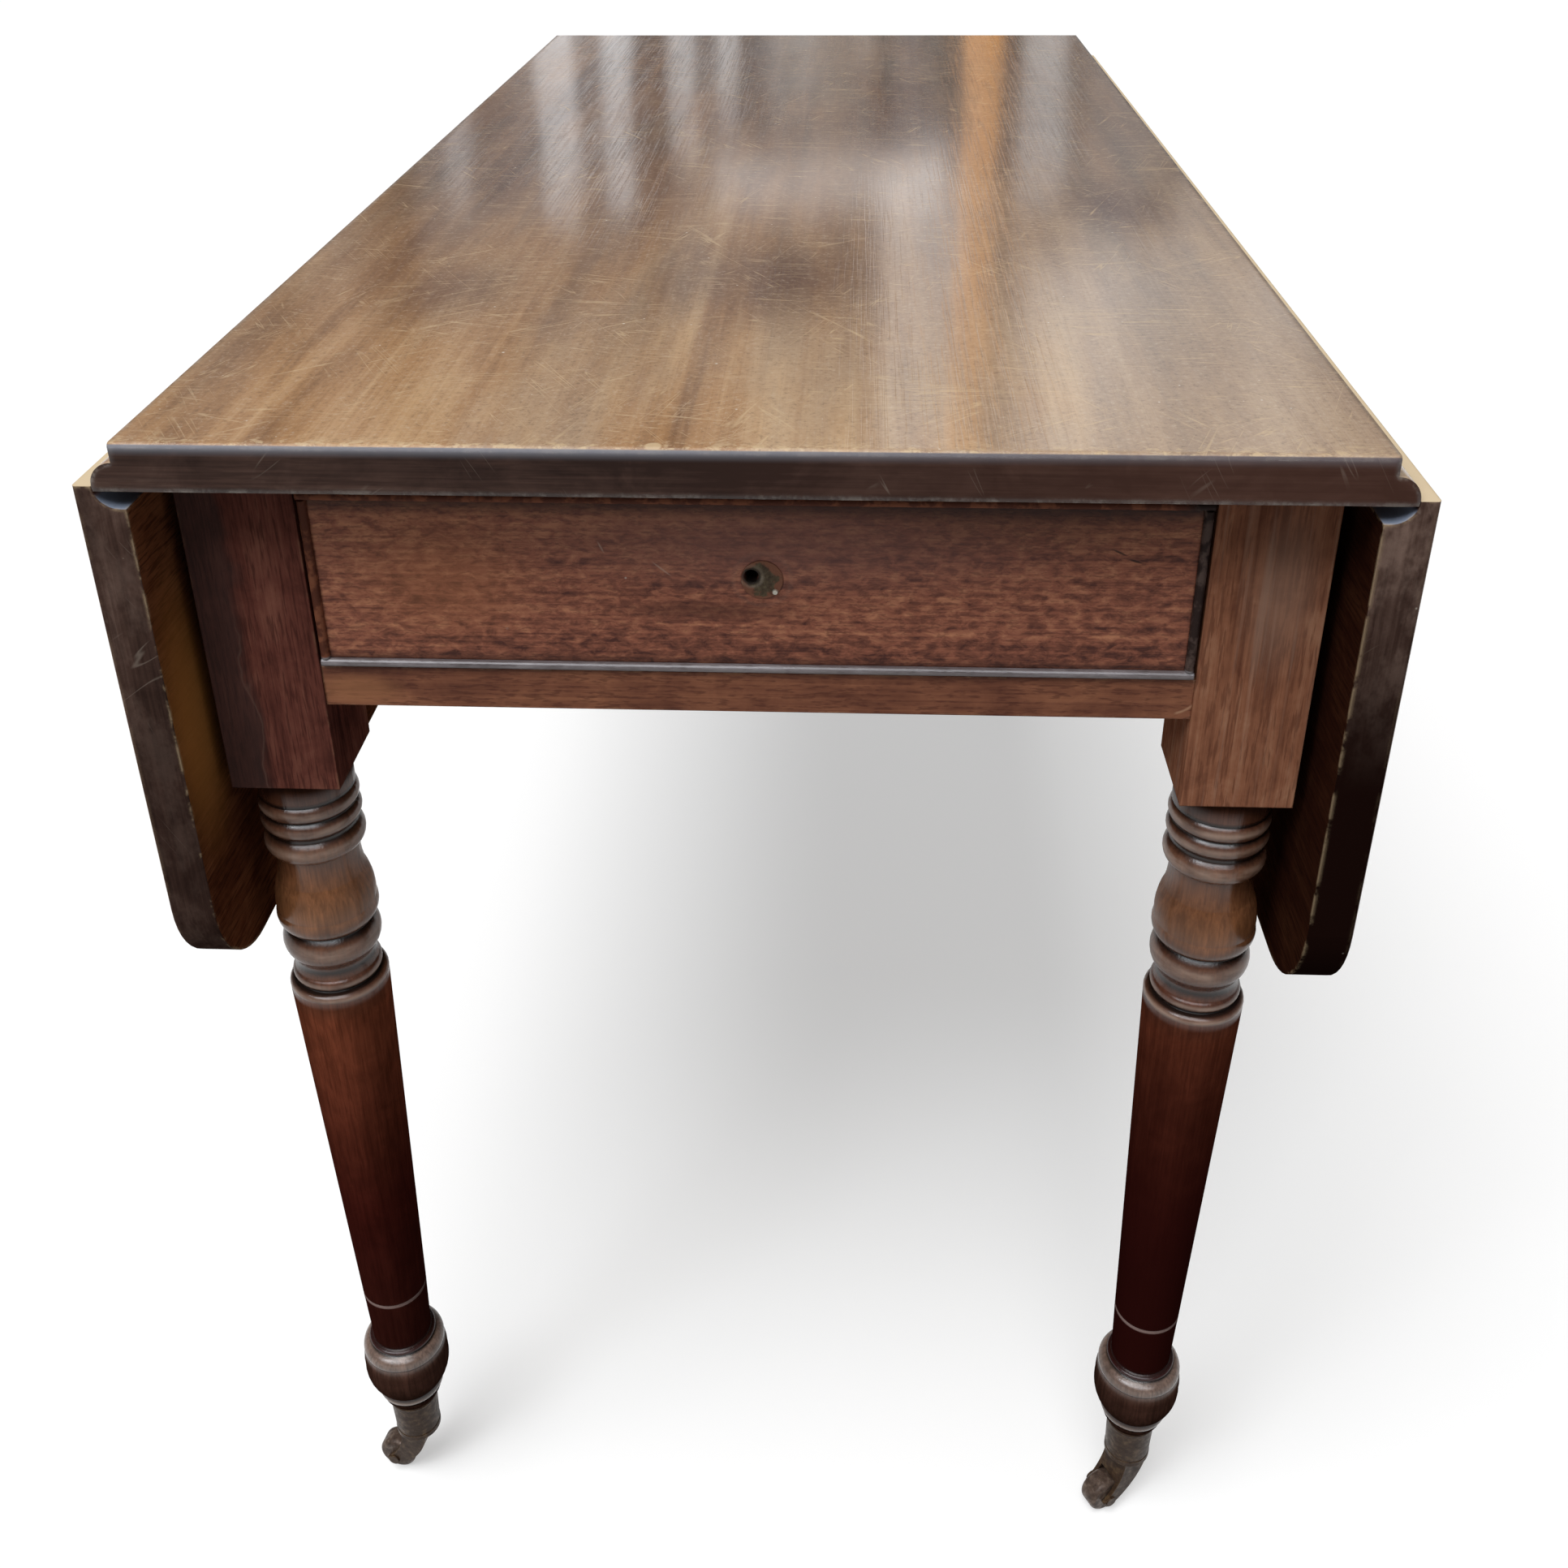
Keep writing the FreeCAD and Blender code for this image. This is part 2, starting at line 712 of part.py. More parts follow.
def dovetail_tails():
    """Tails at the front end of the right-hand drawer side."""
    low = drawer_bottom
    pitch = (drawer_top - drawer_side_drop - low) / tail_count
    tails = []
    for index in range(tail_count):
        middle = low + (index + 0.5) * pitch
        root = pitch * tail_root_share
        tip = pitch * tail_tip_share
        x = drawer_half - drawer_side_thickness
        far = drawer_face_back - tail_length
        points = [vec(x, drawer_face_back, middle - root), vec(x, far, middle - tip)]
        points += [vec(x, far, middle + tip), vec(x, drawer_face_back, middle + root)]
        tails.append(prism(points, vec(drawer_side_thickness, 0, 0)))
    return tails


def drawer_bottom_panel():
    z = drawer_bottom + drawer_bottom_height
    reach = drawer_half - drawer_side_thickness + drawer_groove
    y = (drawer_face_back - drawer_groove, front_y + drawer_depth)
    return block((-reach, reach), y, (z, z + drawer_bottom_thickness))


def drawer_back():
    bottom = drawer_bottom + drawer_bottom_height + drawer_bottom_thickness
    reach = drawer_half - drawer_side_thickness + drawer_back_housing
    end = front_y + drawer_depth - drawer_back_thickness
    y = (end - drawer_back_thickness, end)
    return block((-reach, reach), y, (bottom, drawer_top - drawer_back_drop))


def drawer_side(bottom_panel, back):
    """Right-hand drawer side, grooved for the bottom and housed for the back."""
    x = (drawer_half - drawer_side_thickness, drawer_half)
    y = (drawer_face_back, front_y + drawer_depth)
    board = block(x, y, (drawer_bottom, drawer_top - drawer_side_drop))
    return fused([board] + dovetail_tails()).cut(bottom_panel).cut(back)


def lock_case_block():
    y = (drawer_face_back - lock_inset, drawer_face_back - lock_inset + lock_depth)
    return block((-lock_width / 2, lock_width / 2), y, (drawer_top - lock_height, drawer_top))


def lock_bolt():
    middle = drawer_face_back - lock_inset + lock_depth / 2
    y = (middle - bolt_thickness / 2, middle + bolt_thickness / 2)
    return block((-bolt_width / 2, bolt_width / 2), y, (drawer_top - bolt_height, drawer_top))


def keyhole():
    z = drawer_bottom + keyhole_height
    return rod(keyhole_radius, vec(0, front_y - overrun, z), vec(0, drawer_face_back, z))


def lock_case(bolt):
    """Lock case, open at the top where the bolt slides, with the keyhole through its front."""
    box = bolt.BoundBox
    x = (box.XMin - bolt_clearance, box.XMax + bolt_clearance)
    y = (box.YMin - bolt_clearance, box.YMax + bolt_clearance)
    way = block(x, y, (box.ZMin - bolt_clearance, drawer_top + overrun))
    return lock_case_block().cut(way).cut(keyhole())


def keyhole_plate():
    """Round plate let into the drawer face, off centre from the keyhole, with its one pin."""
    z = drawer_bottom + keyhole_height + plate_shift_z
    face = vec(plate_shift_x, front_y - plate_proud, z)
    disc = rod(plate_radius, face, face + vec(0, plate_thickness, 0)).cut(keyhole())
    offset = plate_radius * plate_pin_share
    head = face + vec(offset, -plate_pin_proud, -offset)
    pin = rod(plate_pin_radius, head, head + vec(0, plate_pin_length, 0))
    return fused([disc, pin])


def drawer_front(pieces):
    """Drawer front, cut for everything that is let into it."""
    board = block((-drawer_half, drawer_half), (front_y, drawer_face_back), (drawer_bottom, drawer_top))
    return board.cut(Part.makeCompound(pieces))


# Casters, standing at the origin with the wheel trailing along +X

def caster_socket():
    """Tapered cup with a rolled rim and a hole for the spindle."""
    bore = spigot_radius + pin_clearance
    top_radius = bore + socket_wall
    rim_low = vec(top_radius, 0, socket_top - socket_rim_height)
    rim_mid = vec(top_radius + socket_rim, 0, socket_top - socket_rim_height / 2)
    rim_high = vec(top_radius, 0, socket_top)
    hole = spindle_radius + pin_clearance
    points = [rim_high, vec(bore, 0, socket_top), vec(bore, 0, socket_inside), vec(hole, 0, socket_inside)]
    points += [vec(hole, 0, socket_bottom), vec(top_radius - socket_taper, 0, socket_bottom), rim_low]
    edges = [line(points[index], points[index + 1]) for index in range(len(points) - 1)]
    edges.append(arc(rim_low, rim_mid, rim_high))
    return Part.Face(Part.Wire(edges)).revolve(vec(0, 0, 0), up, 360)


def horn_claw():
    """Curved claw that sweeps from the round plate down and out to the axle, slotted for the wheel."""
    slot_half = wheel_width / 2 + horn_cheek_gap
    v = -(slot_half + horn_cheek_thickness)
    back = vec(-horn_root_back, v, horn_plate_top)
    front = vec(horn_root_front, v, horn_plate_top)
    axle = vec(caster_trail, v, axle_z)
    tip = axle + vec(horn_boss_radius, 0, 0)
    low = axle - vec(0, 0, horn_boss_radius)
    heel = axle - vec(1, 0, 1) * (horn_boss_radius * diagonal_share)
    edges = [line(back, front), bowed(front, tip, -horn_throat_share), arc(tip, low, heel)]
    edges.append(bowed(heel, back, horn_sweep_share))
    centre = vec(caster_trail, 0, axle_z)
    slot = rod(wheel_radius + horn_slot_gap, centre - vec(0, slot_half, 0), centre + vec(0, slot_half, 0))
    return outlined(edges, vec(0, -2 * v, 0)).cut(slot)


def caster_axle():
    reach = wheel_width / 2 + horn_cheek_gap + horn_cheek_thickness
    centre = vec(caster_trail, 0, axle_z)
    shaft = rod(axle_radius, centre - vec(0, reach, 0), centre + vec(0, reach, 0))
    heads = []
    for way in (-1, 1):
        inner = centre + vec(0, way * reach, 0)
        heads.append(rod(axle_head_radius, inner, inner + vec(0, way * axle_head_thickness, 0)))
    return fused([shaft] + heads)


def caster_horn(axle):
    """Round plate and riveted spindle over the claw that holds the wheel."""
    plate = rod(horn_plate_radius, vec(0, 0, horn_plate_bottom), vec(0, 0, horn_plate_top))
    spindle = rod(spindle_radius, vec(0, 0, horn_plate_bottom), vec(0, 0, spindle_top))
    head_bottom = spindle_top - spindle_head_thickness
    head = rod(spindle_head_radius, vec(0, 0, head_bottom), vec(0, 0, spindle_top))
    return fused([plate, spindle, head, horn_claw()]).cut(axle)


def caster_wheel():
    """Solid roller with rounded shoulders, bored for its axle."""
    half = wheel_width / 2
    tread = tread_width / 2
    bore = axle_radius + pin_clearance
    shoulder = wheel_radius - wheel_shoulder
    turn = diagonal_share
    points = {}
    for way in (-1, 1):
        bulge_y = way * (tread + (half - tread) * turn)
        points[way] = (
            vec(bore, way * half, 0),
            vec(shoulder, way * half, 0),
            vec(shoulder + wheel_shoulder * turn, bulge_y, 0),
            vec(wheel_radius, way * tread, 0),
        )
    edges = [line(points[-1][0], points[1][0]), line(points[-1][3], points[1][3])]
    for way in (-1, 1):
        edges += [line(points[way][0], points[way][1]), arc(points[way][1], points[way][2], points[way][3])]
    outline = Part.Face(Part.Wire(Part.__sortEdges__(edges)))
    wheel = outline.revolve(vec(0, 0, 0), vec(0, 1, 0), 360)
    return wheel.translated(vec(caster_trail, 0, axle_z))


def save_casters():
    axle = caster_axle()
    pieces = {"socket": caster_socket(), "horn": caster_horn(axle), "axle": axle, "wheel": caster_wheel()}
    for corner, angle in caster_angles.items():
        end, side = corner.split("_")
        place = vec(leg_x if side == "right" else -leg_x, leg_y if end == "back" else -leg_y, 0)
        for kind, shape in pieces.items():
            turned = shape.rotated(vec(0, 0, 0), up, angle).translated(place)
            save("caster_" + kind + "_" + corner, turned)


def save_leaves_and_hinges():
    """Top, leaves and rule-joint hinges, and the screws that go into the top."""
    top_screws = []
    leaf_screws = []
    for centre in hinge_places:
        top_screws += top_flap_screws(centre)
        leaf_screws += leaf_flap_screws(centre)
    kicker_set = both_sides(kicker_screws())
    save("top_board", top_board(both_sides(top_screws) + kicker_set))
    save("hinge_top_screws", Part.makeCompound(both_sides(top_screws)))
    save("kicker_screws", Part.makeCompound(kicker_set))
    raised = {"leaf": leaf_board(leaf_screws), "hinge_leaf_screws": Part.makeCompound(leaf_screws)}
    flaps = [hinge_flap(centre, 1, 1, leaf_flap_length, leaf_screws) for centre in hinge_places]
    raised["hinge_leaf_flaps"] = Part.makeCompound(flaps)
    hung = {name: hang(shape) for name, shape in raised.items()}
    fixed = [hinge_flap(centre, 0, -1, top_flap_length, top_screws) for centre in hinge_places]
    hung["hinge_top_flaps"] = Part.makeCompound(fixed)
    hung["hinge_pins"] = Part.makeCompound([hinge_pin(centre) for centre in hinge_places])
    for name, shape in hung.items():
        save(name + "_right", shape)
        save(name + "_left", mirror_x(shape))


def save_frame(bolt):
    """Legs, rails, fly rails, brackets, runners, kickers, stops and blocks."""
    screws = fly_screws()
    rails = {"side_rail": side_rail().cut(Part.makeCompound(screws)), "fly_rail": fly_rail(screws)}
    rails["drawer_runner"] = runner()
    for name, shape in rails.items():
        save(name + "_right", shape)
        save(name + "_left", mirror_x(shape))
    ends = {"back_rail": back_rail(), "drawer_rail": drawer_rail(), "top_rail": top_rail(bolt)}
    for name, shape in ends.items():
        save(name, shape)
    joined = Part.makeCompound([side_rail(), mirror_x(side_rail())] + list(ends.values()))
    plain_leg = leg()
    for end, y in (("front", -leg_y), ("back", leg_y)):
        for side, x in (("left", -leg_x), ("right", leg_x)):
            save("leg_" + end + "_" + side, plain_leg.translated(vec(x, y, 0)).cut(joined))
    bracket = fly_bracket()
    places = {"back_right": bracket, "front_right": mirror_y(bracket)}
    for name, shape in places.items():
        save("fly_bracket_" + name, shape)
        save("fly_bracket_" + name.replace("right", "left"), mirror_x(shape))
    pins = [fly_pin(fly_pin_radius), mirror_y(fly_pin(fly_pin_radius))]
    save("fly_bracket_pins", Part.makeCompound(both_sides(pins)))
    save("fly_rail_screws", Part.makeCompound(both_sides(screws)))
    save("drawer_kickers", Part.makeCompound(both_sides([kicker(kicker_screws())])))
    save("glue_blocks", Part.makeCompound(both_sides([glue_block()])))
    save("drawer_stops", Part.makeCompound(both_sides([drawer_stop()])))


def save_drawer(bolt):
    panel = drawer_bottom_panel()
    back = drawer_back()
    side = drawer_side(panel, back)
    beads = cockbeads()
    plate = keyhole_plate()
    tails = both_sides(dovetail_tails())
    save("drawer_front", drawer_front(beads + tails + [panel, lock_case_block(), plate, keyhole()]))
    save("drawer_cockbead", Part.makeCompound(beads))
    save("drawer_side_right", side)
    save("drawer_side_left", mirror_x(side))
    save("drawer_back", back)
    save("drawer_bottom", panel)
    save("drawer_lock", lock_case(bolt))
    save("lock_bolt", bolt)
    save("keyhole_plate", plate)


os.makedirs("parts", exist_ok=True)
drawer_bolt = lock_bolt()
save_leaves_and_hinges()
save_frame(drawer_bolt)
save_drawer(drawer_bolt)
save_casters()
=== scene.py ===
import math

import bpy
from mathutils import Matrix, Vector


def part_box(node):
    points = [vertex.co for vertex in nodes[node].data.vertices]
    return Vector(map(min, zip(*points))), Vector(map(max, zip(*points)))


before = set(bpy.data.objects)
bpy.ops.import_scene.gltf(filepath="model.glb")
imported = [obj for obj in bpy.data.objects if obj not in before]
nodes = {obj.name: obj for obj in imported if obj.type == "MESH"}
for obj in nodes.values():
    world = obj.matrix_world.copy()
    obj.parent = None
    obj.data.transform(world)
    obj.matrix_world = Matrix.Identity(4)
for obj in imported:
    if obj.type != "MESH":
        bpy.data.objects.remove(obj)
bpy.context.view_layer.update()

# Looks of an old mahogany pembroke table, in metres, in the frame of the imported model.
# The drawer end faces -Y, and both leaves hang at rest.

# Places on the table that the materials follow
top_low, top_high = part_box("top_board")
drawer_low, drawer_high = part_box("drawer_front")
rail_low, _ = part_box("drawer_rail")
_, leaf_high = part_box("leaf_right")
top_front = top_low[1]
top_surface = top_high[2]
leaf_top = leaf_high[2]
rail_front = rail_low[1]
drawer_face = drawer_low[1]
block_bottom = 0.535
keyhole_place = (0.0, drawer_face, 0.6492)
plate_place = (0.0046, drawer_face, 0.6475)
plate_pin_place = (0.0102, drawer_face, 0.6419)

# Camera: pixel sizes belong to the square image
image_pixels = 1932
focal_pixels = 1970.5
centre_pixels = (966.0, 748.1)
sensor_width = 36.0
camera_place = (0.04234, -1.11338, 0.95814)
camera_down = math.radians(27.905)
camera_turn = math.radians(2.665)
camera_roll = math.radians(0.419)

right_angle = math.pi / 2


# Building blocks of the node materials

class Recipe:
    """One node material. Every input takes a socket or a plain value."""

    # Cosines between which a face counts as looking along an axis, and an edge as sharp
    face_step = (0.55, 0.80)
    arris_step = (0.995, 0.80)

    def __init__(self, name):
        self.material = bpy.data.materials.new(name)
        self.material.use_nodes = True
        self.tree = self.material.node_tree
        self.tree.nodes.clear()
        self.shader = self.add("ShaderNodeBsdfPrincipled")
        self.output = self.add("ShaderNodeOutputMaterial")
        self.tree.links.new(self.shader.outputs[0], self.output.inputs["Surface"])
        coordinates = self.add("ShaderNodeTexCoord")
        self.place = coordinates.outputs["Object"]
        self.normal = coordinates.outputs["Normal"]

    def add(self, kind, **settings):
        """New node of a kind, with its settings."""
        node = self.tree.nodes.new(kind)
        for key, value in settings.items():
            setattr(node, key, value)
        return node

    def feed(self, socket, value):
        """Links an input to another node, or gives it a plain value."""
        if isinstance(value, bpy.types.NodeSocket):
            self.tree.links.new(value, socket)
        else:
            socket.default_value = value

    def set(self, **values):
        """Sets inputs of the surface shader by name, with _ for a space."""
        for key, value in values.items():
            self.feed(self.shader.inputs[key.replace("_", " ")], value)

    def scaled(self, scale, move=(0.0, 0.0, 0.0), turn=(0.0, 0.0, 0.0), source=None):
        """Places on the object, or another vector, scaled, turned and then moved."""
        node = self.add("ShaderNodeMapping")
        self.feed(node.inputs["Vector"], source or self.place)
        node.inputs["Location"].default_value = move
        node.inputs["Rotation"].default_value = turn
        node.inputs["Scale"].default_value = scale
        return node.outputs[0]

    def axis(self, index, source=None):
        """One part of the place on the object, or of another vector."""
        node = self.add("ShaderNodeSeparateXYZ")
        self.feed(node.inputs[0], source or self.place)
        return node.outputs[index]

    def noise(self, vector, detail, roughness=0.5, distortion=0.0):
        """Smooth random values round 0.5."""
        node = self.add("ShaderNodeTexNoise")
        self.feed(node.inputs["Vector"], vector)
        self.feed(node.inputs["Scale"], 1.0)
        self.feed(node.inputs["Detail"], detail)
        self.feed(node.inputs["Roughness"], roughness)
        self.feed(node.inputs["Distortion"], distortion)
        return node.outputs[0]

    def speckle(self, scale, detail, roughness=0.5, move=(0.0, 0.0, 0.0)):
        """Noise with the same scale along all axes."""
        return self.noise(self.scaled((scale, scale, scale), move), detail, roughness)

    def cells(self, vector):
        """Distance to the nearest random point, and a random value of that point."""
        node = self.add("ShaderNodeTexVoronoi")
        self.feed(node.inputs["Vector"], vector)
        self.feed(node.inputs["Scale"], 1.0)
        return node.outputs["Distance"], self.axis(0, node.outputs["Color"])

    def calculate(self, kind, a, b=0.0):
        """One calculation with one or two values."""
        node = self.add("ShaderNodeMath", operation=kind)
        self.feed(node.inputs[0], a)
        self.feed(node.inputs[1], b)
        return node.outputs[0]

    def times(self, a, b):
        return self.calculate("MULTIPLY", a, b)

    def plus(self, a, b):
        return self.calculate("ADD", a, b)

    def minus(self, a, b):
        return self.calculate("SUBTRACT", a, b)

    def most(self, a, b):
        return self.calculate("MAXIMUM", a, b)

    def ramp(self, value, low, high, start=0.0, end=1.0):
        """Smooth step from start at low to end at high."""
        node = self.add("ShaderNodeMapRange", interpolation_type="SMOOTHSTEP")
        for socket, given in zip(node.inputs, (value, low, high, start, end)):
            self.feed(socket, given)
        return node.outputs[0]

    def near(self, value, middle, reach):
        """1 where the value is at the middle, 0 from a reach away."""
        away = self.calculate("ABSOLUTE", self.minus(value, middle))
        return self.ramp(away, reach, 0.0)

    def between(self, value, rise, fall):
        """1 between the ends of a rise and a fall, 0 outside both."""
        return self.times(self.ramp(value, *rise), self.ramp(value, *fall))

    def mix(self, share, a, b, mode="MIX"):
        """Colour a with a share of colour b."""
        node = self.add("ShaderNodeMix", data_type="RGBA", blend_type=mode)
        self.feed(node.inputs[0], share)
        self.feed(node.inputs[6], a)
        self.feed(node.inputs[7], b)
        return node.outputs[2]

    def tinted(self, base, mask, share, tint):
        """Base colour with a tint on a share of the mask."""
        return self.mix(self.times(mask, share), base, tint)

    def shades(self, value, stops):
        """Colour ramp through (position, colour) stops."""
        node = self.add("ShaderNodeValToRGB")
        ramp = node.color_ramp
        while len(ramp.elements) < len(stops):
            ramp.elements.new(0.5)
        for element, (position, tint) in zip(ramp.elements, stops):
            element.position = position
            element.color = tint
        self.feed(node.inputs[0], value)
        return node.outputs[0]

    def length(self, vector):
        node = self.add("ShaderNodeVectorMath", operation="LENGTH")
        self.feed(node.inputs[0], vector)
        return node.outputs["Value"]

    def dot(self, a, b):
        node = self.add("ShaderNodeVectorMath", operation="DOT_PRODUCT")
        self.feed(node.inputs[0], a)
        self.feed(node.inputs[1], b)
        return node.outputs["Value"]

    def around(self, centre, size):
        """Distance from a centre, in sizes of an ellipsoid."""
        scale = tuple(1.0 / part for part in size)
        move = tuple(-place / part for place, part in zip(centre, size))
        return self.length(self.scaled(scale, move))

    def patch(self, centre, size, soft):
        """1 inside an ellipsoid, fading to 0 over the outer share of its size."""
        return self.ramp(self.around(centre, size), 1.0, 1.0 - soft)

    def faces(self, index, way):
        """1 on faces that look along one axis."""
        return self.ramp(self.times(self.axis(index, self.normal), way), *self.face_step)

    def rounded(self, radius):
        """Normal with its sharp edges eased over a radius."""
        bevel = self.add("ShaderNodeBevel", samples=4)
        self.feed(bevel.inputs["Radius"], radius)
        return bevel.outputs[0]

    def arris(self, radius):
        """1 on sharp edges, fading to 0 over the radius."""
        flat = self.add("ShaderNodeNewGeometry").outputs["True Normal"]
        return self.ramp(self.dot(self.rounded(radius), flat), *self.arris_step)

    def hollow(self, reach):
        """1 deep in corners and grooves, 0 in the open."""
        node = self.add("ShaderNodeAmbientOcclusion", samples=8, only_local=True)
        self.feed(node.inputs["Distance"], reach)
        return self.minus(1.0, node.outputs["AO"])

    def bump(self, height, depth, normal):
        """Normal with relief on it."""
        node = self.add("ShaderNodeBump")
        self.feed(node.inputs["Strength"], 1.0)
        self.feed(node.inputs["Distance"], depth)
        self.feed(node.inputs["Height"], height)
        self.feed(node.inputs["Normal"], normal)
        return node.outputs[0]

    def finish(self, base, rough, height, depth, ease=0.0009):
        """Colour, roughness and relief of a depth, with the edges eased over a radius."""
        relief = self.bump(height, depth, self.rounded(ease))
        self.set(Base_Color=base, Roughness=rough, Normal=relief, Coat_Normal=relief)
        return self.material


def colour(red, green, blue):
    """Colour given as it looks on a screen, 0 to 255, as linear light."""
    values = []
    for value in (red, green, blue):
        share = value / 255
        values.append(share / 12.92 if share < 0.04045 else ((share + 0.055) / 1.055) ** 2.4)
    return (*values, 1.0)


def along_axis(axis, along, across):
    """Scale vector with one value along the grain and one across it."""
    scale = [across, across, across]
    scale["XYZ".index(axis)] = along
    return tuple(scale)


def wear(name, material):
    """Puts a material on a node of the frame."""
    nodes[name].material_slots[0].material = material


# Colours of dirt and painted shade, dust and bare wood that all surfaces share
bare_wood = colour(204, 178, 142)
dust_colour = colour(224, 214, 198)
dirt_and_shade_colour = colour(20, 14, 12)


# Wood: the grain, pores and figure that every surface shares

# Scales count features per metre, first along the grain and then across it
wander_scale = (1.6, 7.0)
band_scale = (1.1, 42.0)
fibre_scale = (9.0, 520.0)
tone_steps = (0.30, 0.50, 0.70)
pore_step = (0.50, 0.64)
plain_pores = (60.0, 760.0)
plain_figure = (34.0, 46.0)
long_pores = (9.0, 820.0)


def grain(recipe, axis, tones, shift=0.0, pore=plain_pores, pore_share=0.6, fibre_share=0.4,
          figure=plain_figure, figure_share=0.55):
    """Colour and height of mahogany with its grain along an axis; tones run from dark to pale."""
    move = (shift, 1.7 * shift, 2.3 * shift)

    def layer(scale, detail, roughness=0.5, distortion=0.0):
        """One noise stretched along the grain."""
        return recipe.noise(recipe.scaled(along_axis(axis, *scale), move), detail, roughness, distortion)

    fibres = layer(fibre_scale, 3.0, 0.65)
    mottle = layer(figure, 4.0, 0.65, 0.5)
    tone = recipe.times(recipe.plus(layer(wander_scale, 2.0), layer(band_scale, 3.0, 0.6, 0.6)), 0.5)
    tone = recipe.plus(tone, recipe.times(recipe.minus(mottle, 0.5), figure_share))
    tone = recipe.plus(tone, recipe.times(recipe.minus(fibres, 0.5), fibre_share))
    pores = recipe.ramp(layer(pore, 2.0, 0.6), *pore_step)
    base = recipe.shades(tone, tuple(zip(tone_steps, tones)))
    base = recipe.tinted(base, pores, pore_share, tones[0])
    height = recipe.minus(recipe.times(fibres, 0.35), recipe.times(pores, 0.65))
    return base, height


def scratches(recipe, angle, kind, seed, cover):
    """Thin broken lines at an angle in the XY plane; cover says where the noise breaks them."""
    across, along, width = kind
    turned = recipe.scaled((1.0, 1.0, 1.0), turn=(0.0, 0.0, angle))
    lines = recipe.noise(recipe.scaled((across, along, 1.0), (seed, seed, seed), source=turned), 1.0)
    broken = recipe.speckle(17.0, 3.0, 0.7, (seed, 0.0, seed))
    return recipe.times(recipe.near(lines, 0.5, width), recipe.ramp(broken, *cover))


def nicks(recipe, tilt, scale, width, seed):
    """Short pale dents and lines on an upright face that looks along Y."""
    turned = recipe.scaled((1.0, 1.0, 1.0), turn=(0.0, tilt, 0.0))
    lines = recipe.noise(recipe.scaled(scale, (seed, seed, seed), source=turned), 1.0)
    broken = recipe.speckle(24.0, 2.0, 0.5, (seed, seed, 0.0))
    return recipe.times(recipe.near(lines, 0.5, width), recipe.ramp(broken, 0.60, 0.68))


def dust(recipe, scale, size, share):
    """Small pale specks, on a share of the random points."""
    distance, pick = recipe.cells(recipe.scaled((scale, scale, scale)))
    speck = recipe.ramp(distance, size, 0.5 * size)
    return recipe.times(speck, recipe.ramp(pick, 1.0 - share, 1.0 - 0.9 * share))


def rubbed(recipe, radius, scale, cover):
    """Edges worn through the polish, in uneven stretches."""
    uneven = recipe.speckle(scale, 4.0, 0.65)
    return recipe.times(recipe.arris(radius), recipe.ramp(uneven, *cover))


# Top

top_tones = (colour(112, 74, 44), colour(172, 130, 88), colour(208, 172, 130))
deep_tones = (colour(64, 38, 25), colour(102, 67, 45), colour(138, 98, 66))
edge_tones = (colour(48, 35, 31), colour(76, 57, 50), colour(104, 83, 74))
under_tones = (colour(64, 40, 28), colour(92, 60, 40), colour(116, 80, 54))
reflection_bloom_colour = colour(176, 160, 142)
stain_and_reflection_colour = colour(80, 48, 39)
dark_dirt = colour(58, 40, 30)
pale_dirt = colour(206, 190, 168)
nick_colour = colour(150, 136, 124)
warm_edge = colour(94, 60, 48)
arris_highlight_colour = colour(164, 166, 176)
worn_edge = colour(212, 202, 188)
top_figure = (2.5, 18.0)
deep_figure = (4.0, 30.0)
# The golden front turns deep brown along Y, and a grey painted reflection, laid on as a bloom of old wax,
# grows along X
deep_span = (-0.62, 0.10)
reflection_bloom_span = (-0.12, 0.20)
# Spans along X of the warm end and the painted highlight line of the front edge
warm_span = (-0.10, 0.25)
arris_highlight_span = (0.24, -0.10)
arris_highlight_height = 0.006
top_arris = 0.004
top_relief = 0.000015
fleck_reach = 0.012
chip_inset = 0.003
chip_place = (-0.036, top_front + chip_inset, top_surface)
chip_size = (0.004, 0.004, 0.01)
scuff_places = (
    ((-0.10, -0.465, top_surface), (0.06, 0.035, 0.05)),
    ((0.06, -0.455, top_surface), (0.12, 0.05, 0.05)),
    ((0.17, -0.36, top_surface), (0.07, 0.05, 0.05)),
)
stain_and_reflection_places = (
    ((0.0, -0.30, top_surface), (0.075, 0.11, 0.05)),
    # Painted dark reflection, laid on as a stain
    ((0.07, 0.10, top_surface), (0.07, 0.16, 0.05)),
    ((-0.16, -0.33, top_surface), (0.05, 0.09, 0.05)),
    ((0.20, -0.14, top_surface), (0.05, 0.10, 0.05)),
)
# Kinds of scratches: lines per metre across and along, and the width of a line in the noise
first_kind = (150.0, 5.0, 0.012)
fine_kind = (170.0, 5.0, 0.012)
hatch_kind = (300.0, 9.0, 0.02)
scuff_kind = (420.0, 14.0, 0.05)
fine_angles = (1.9, 2.6, 0.9, 1.45, 1.62, 1.75)


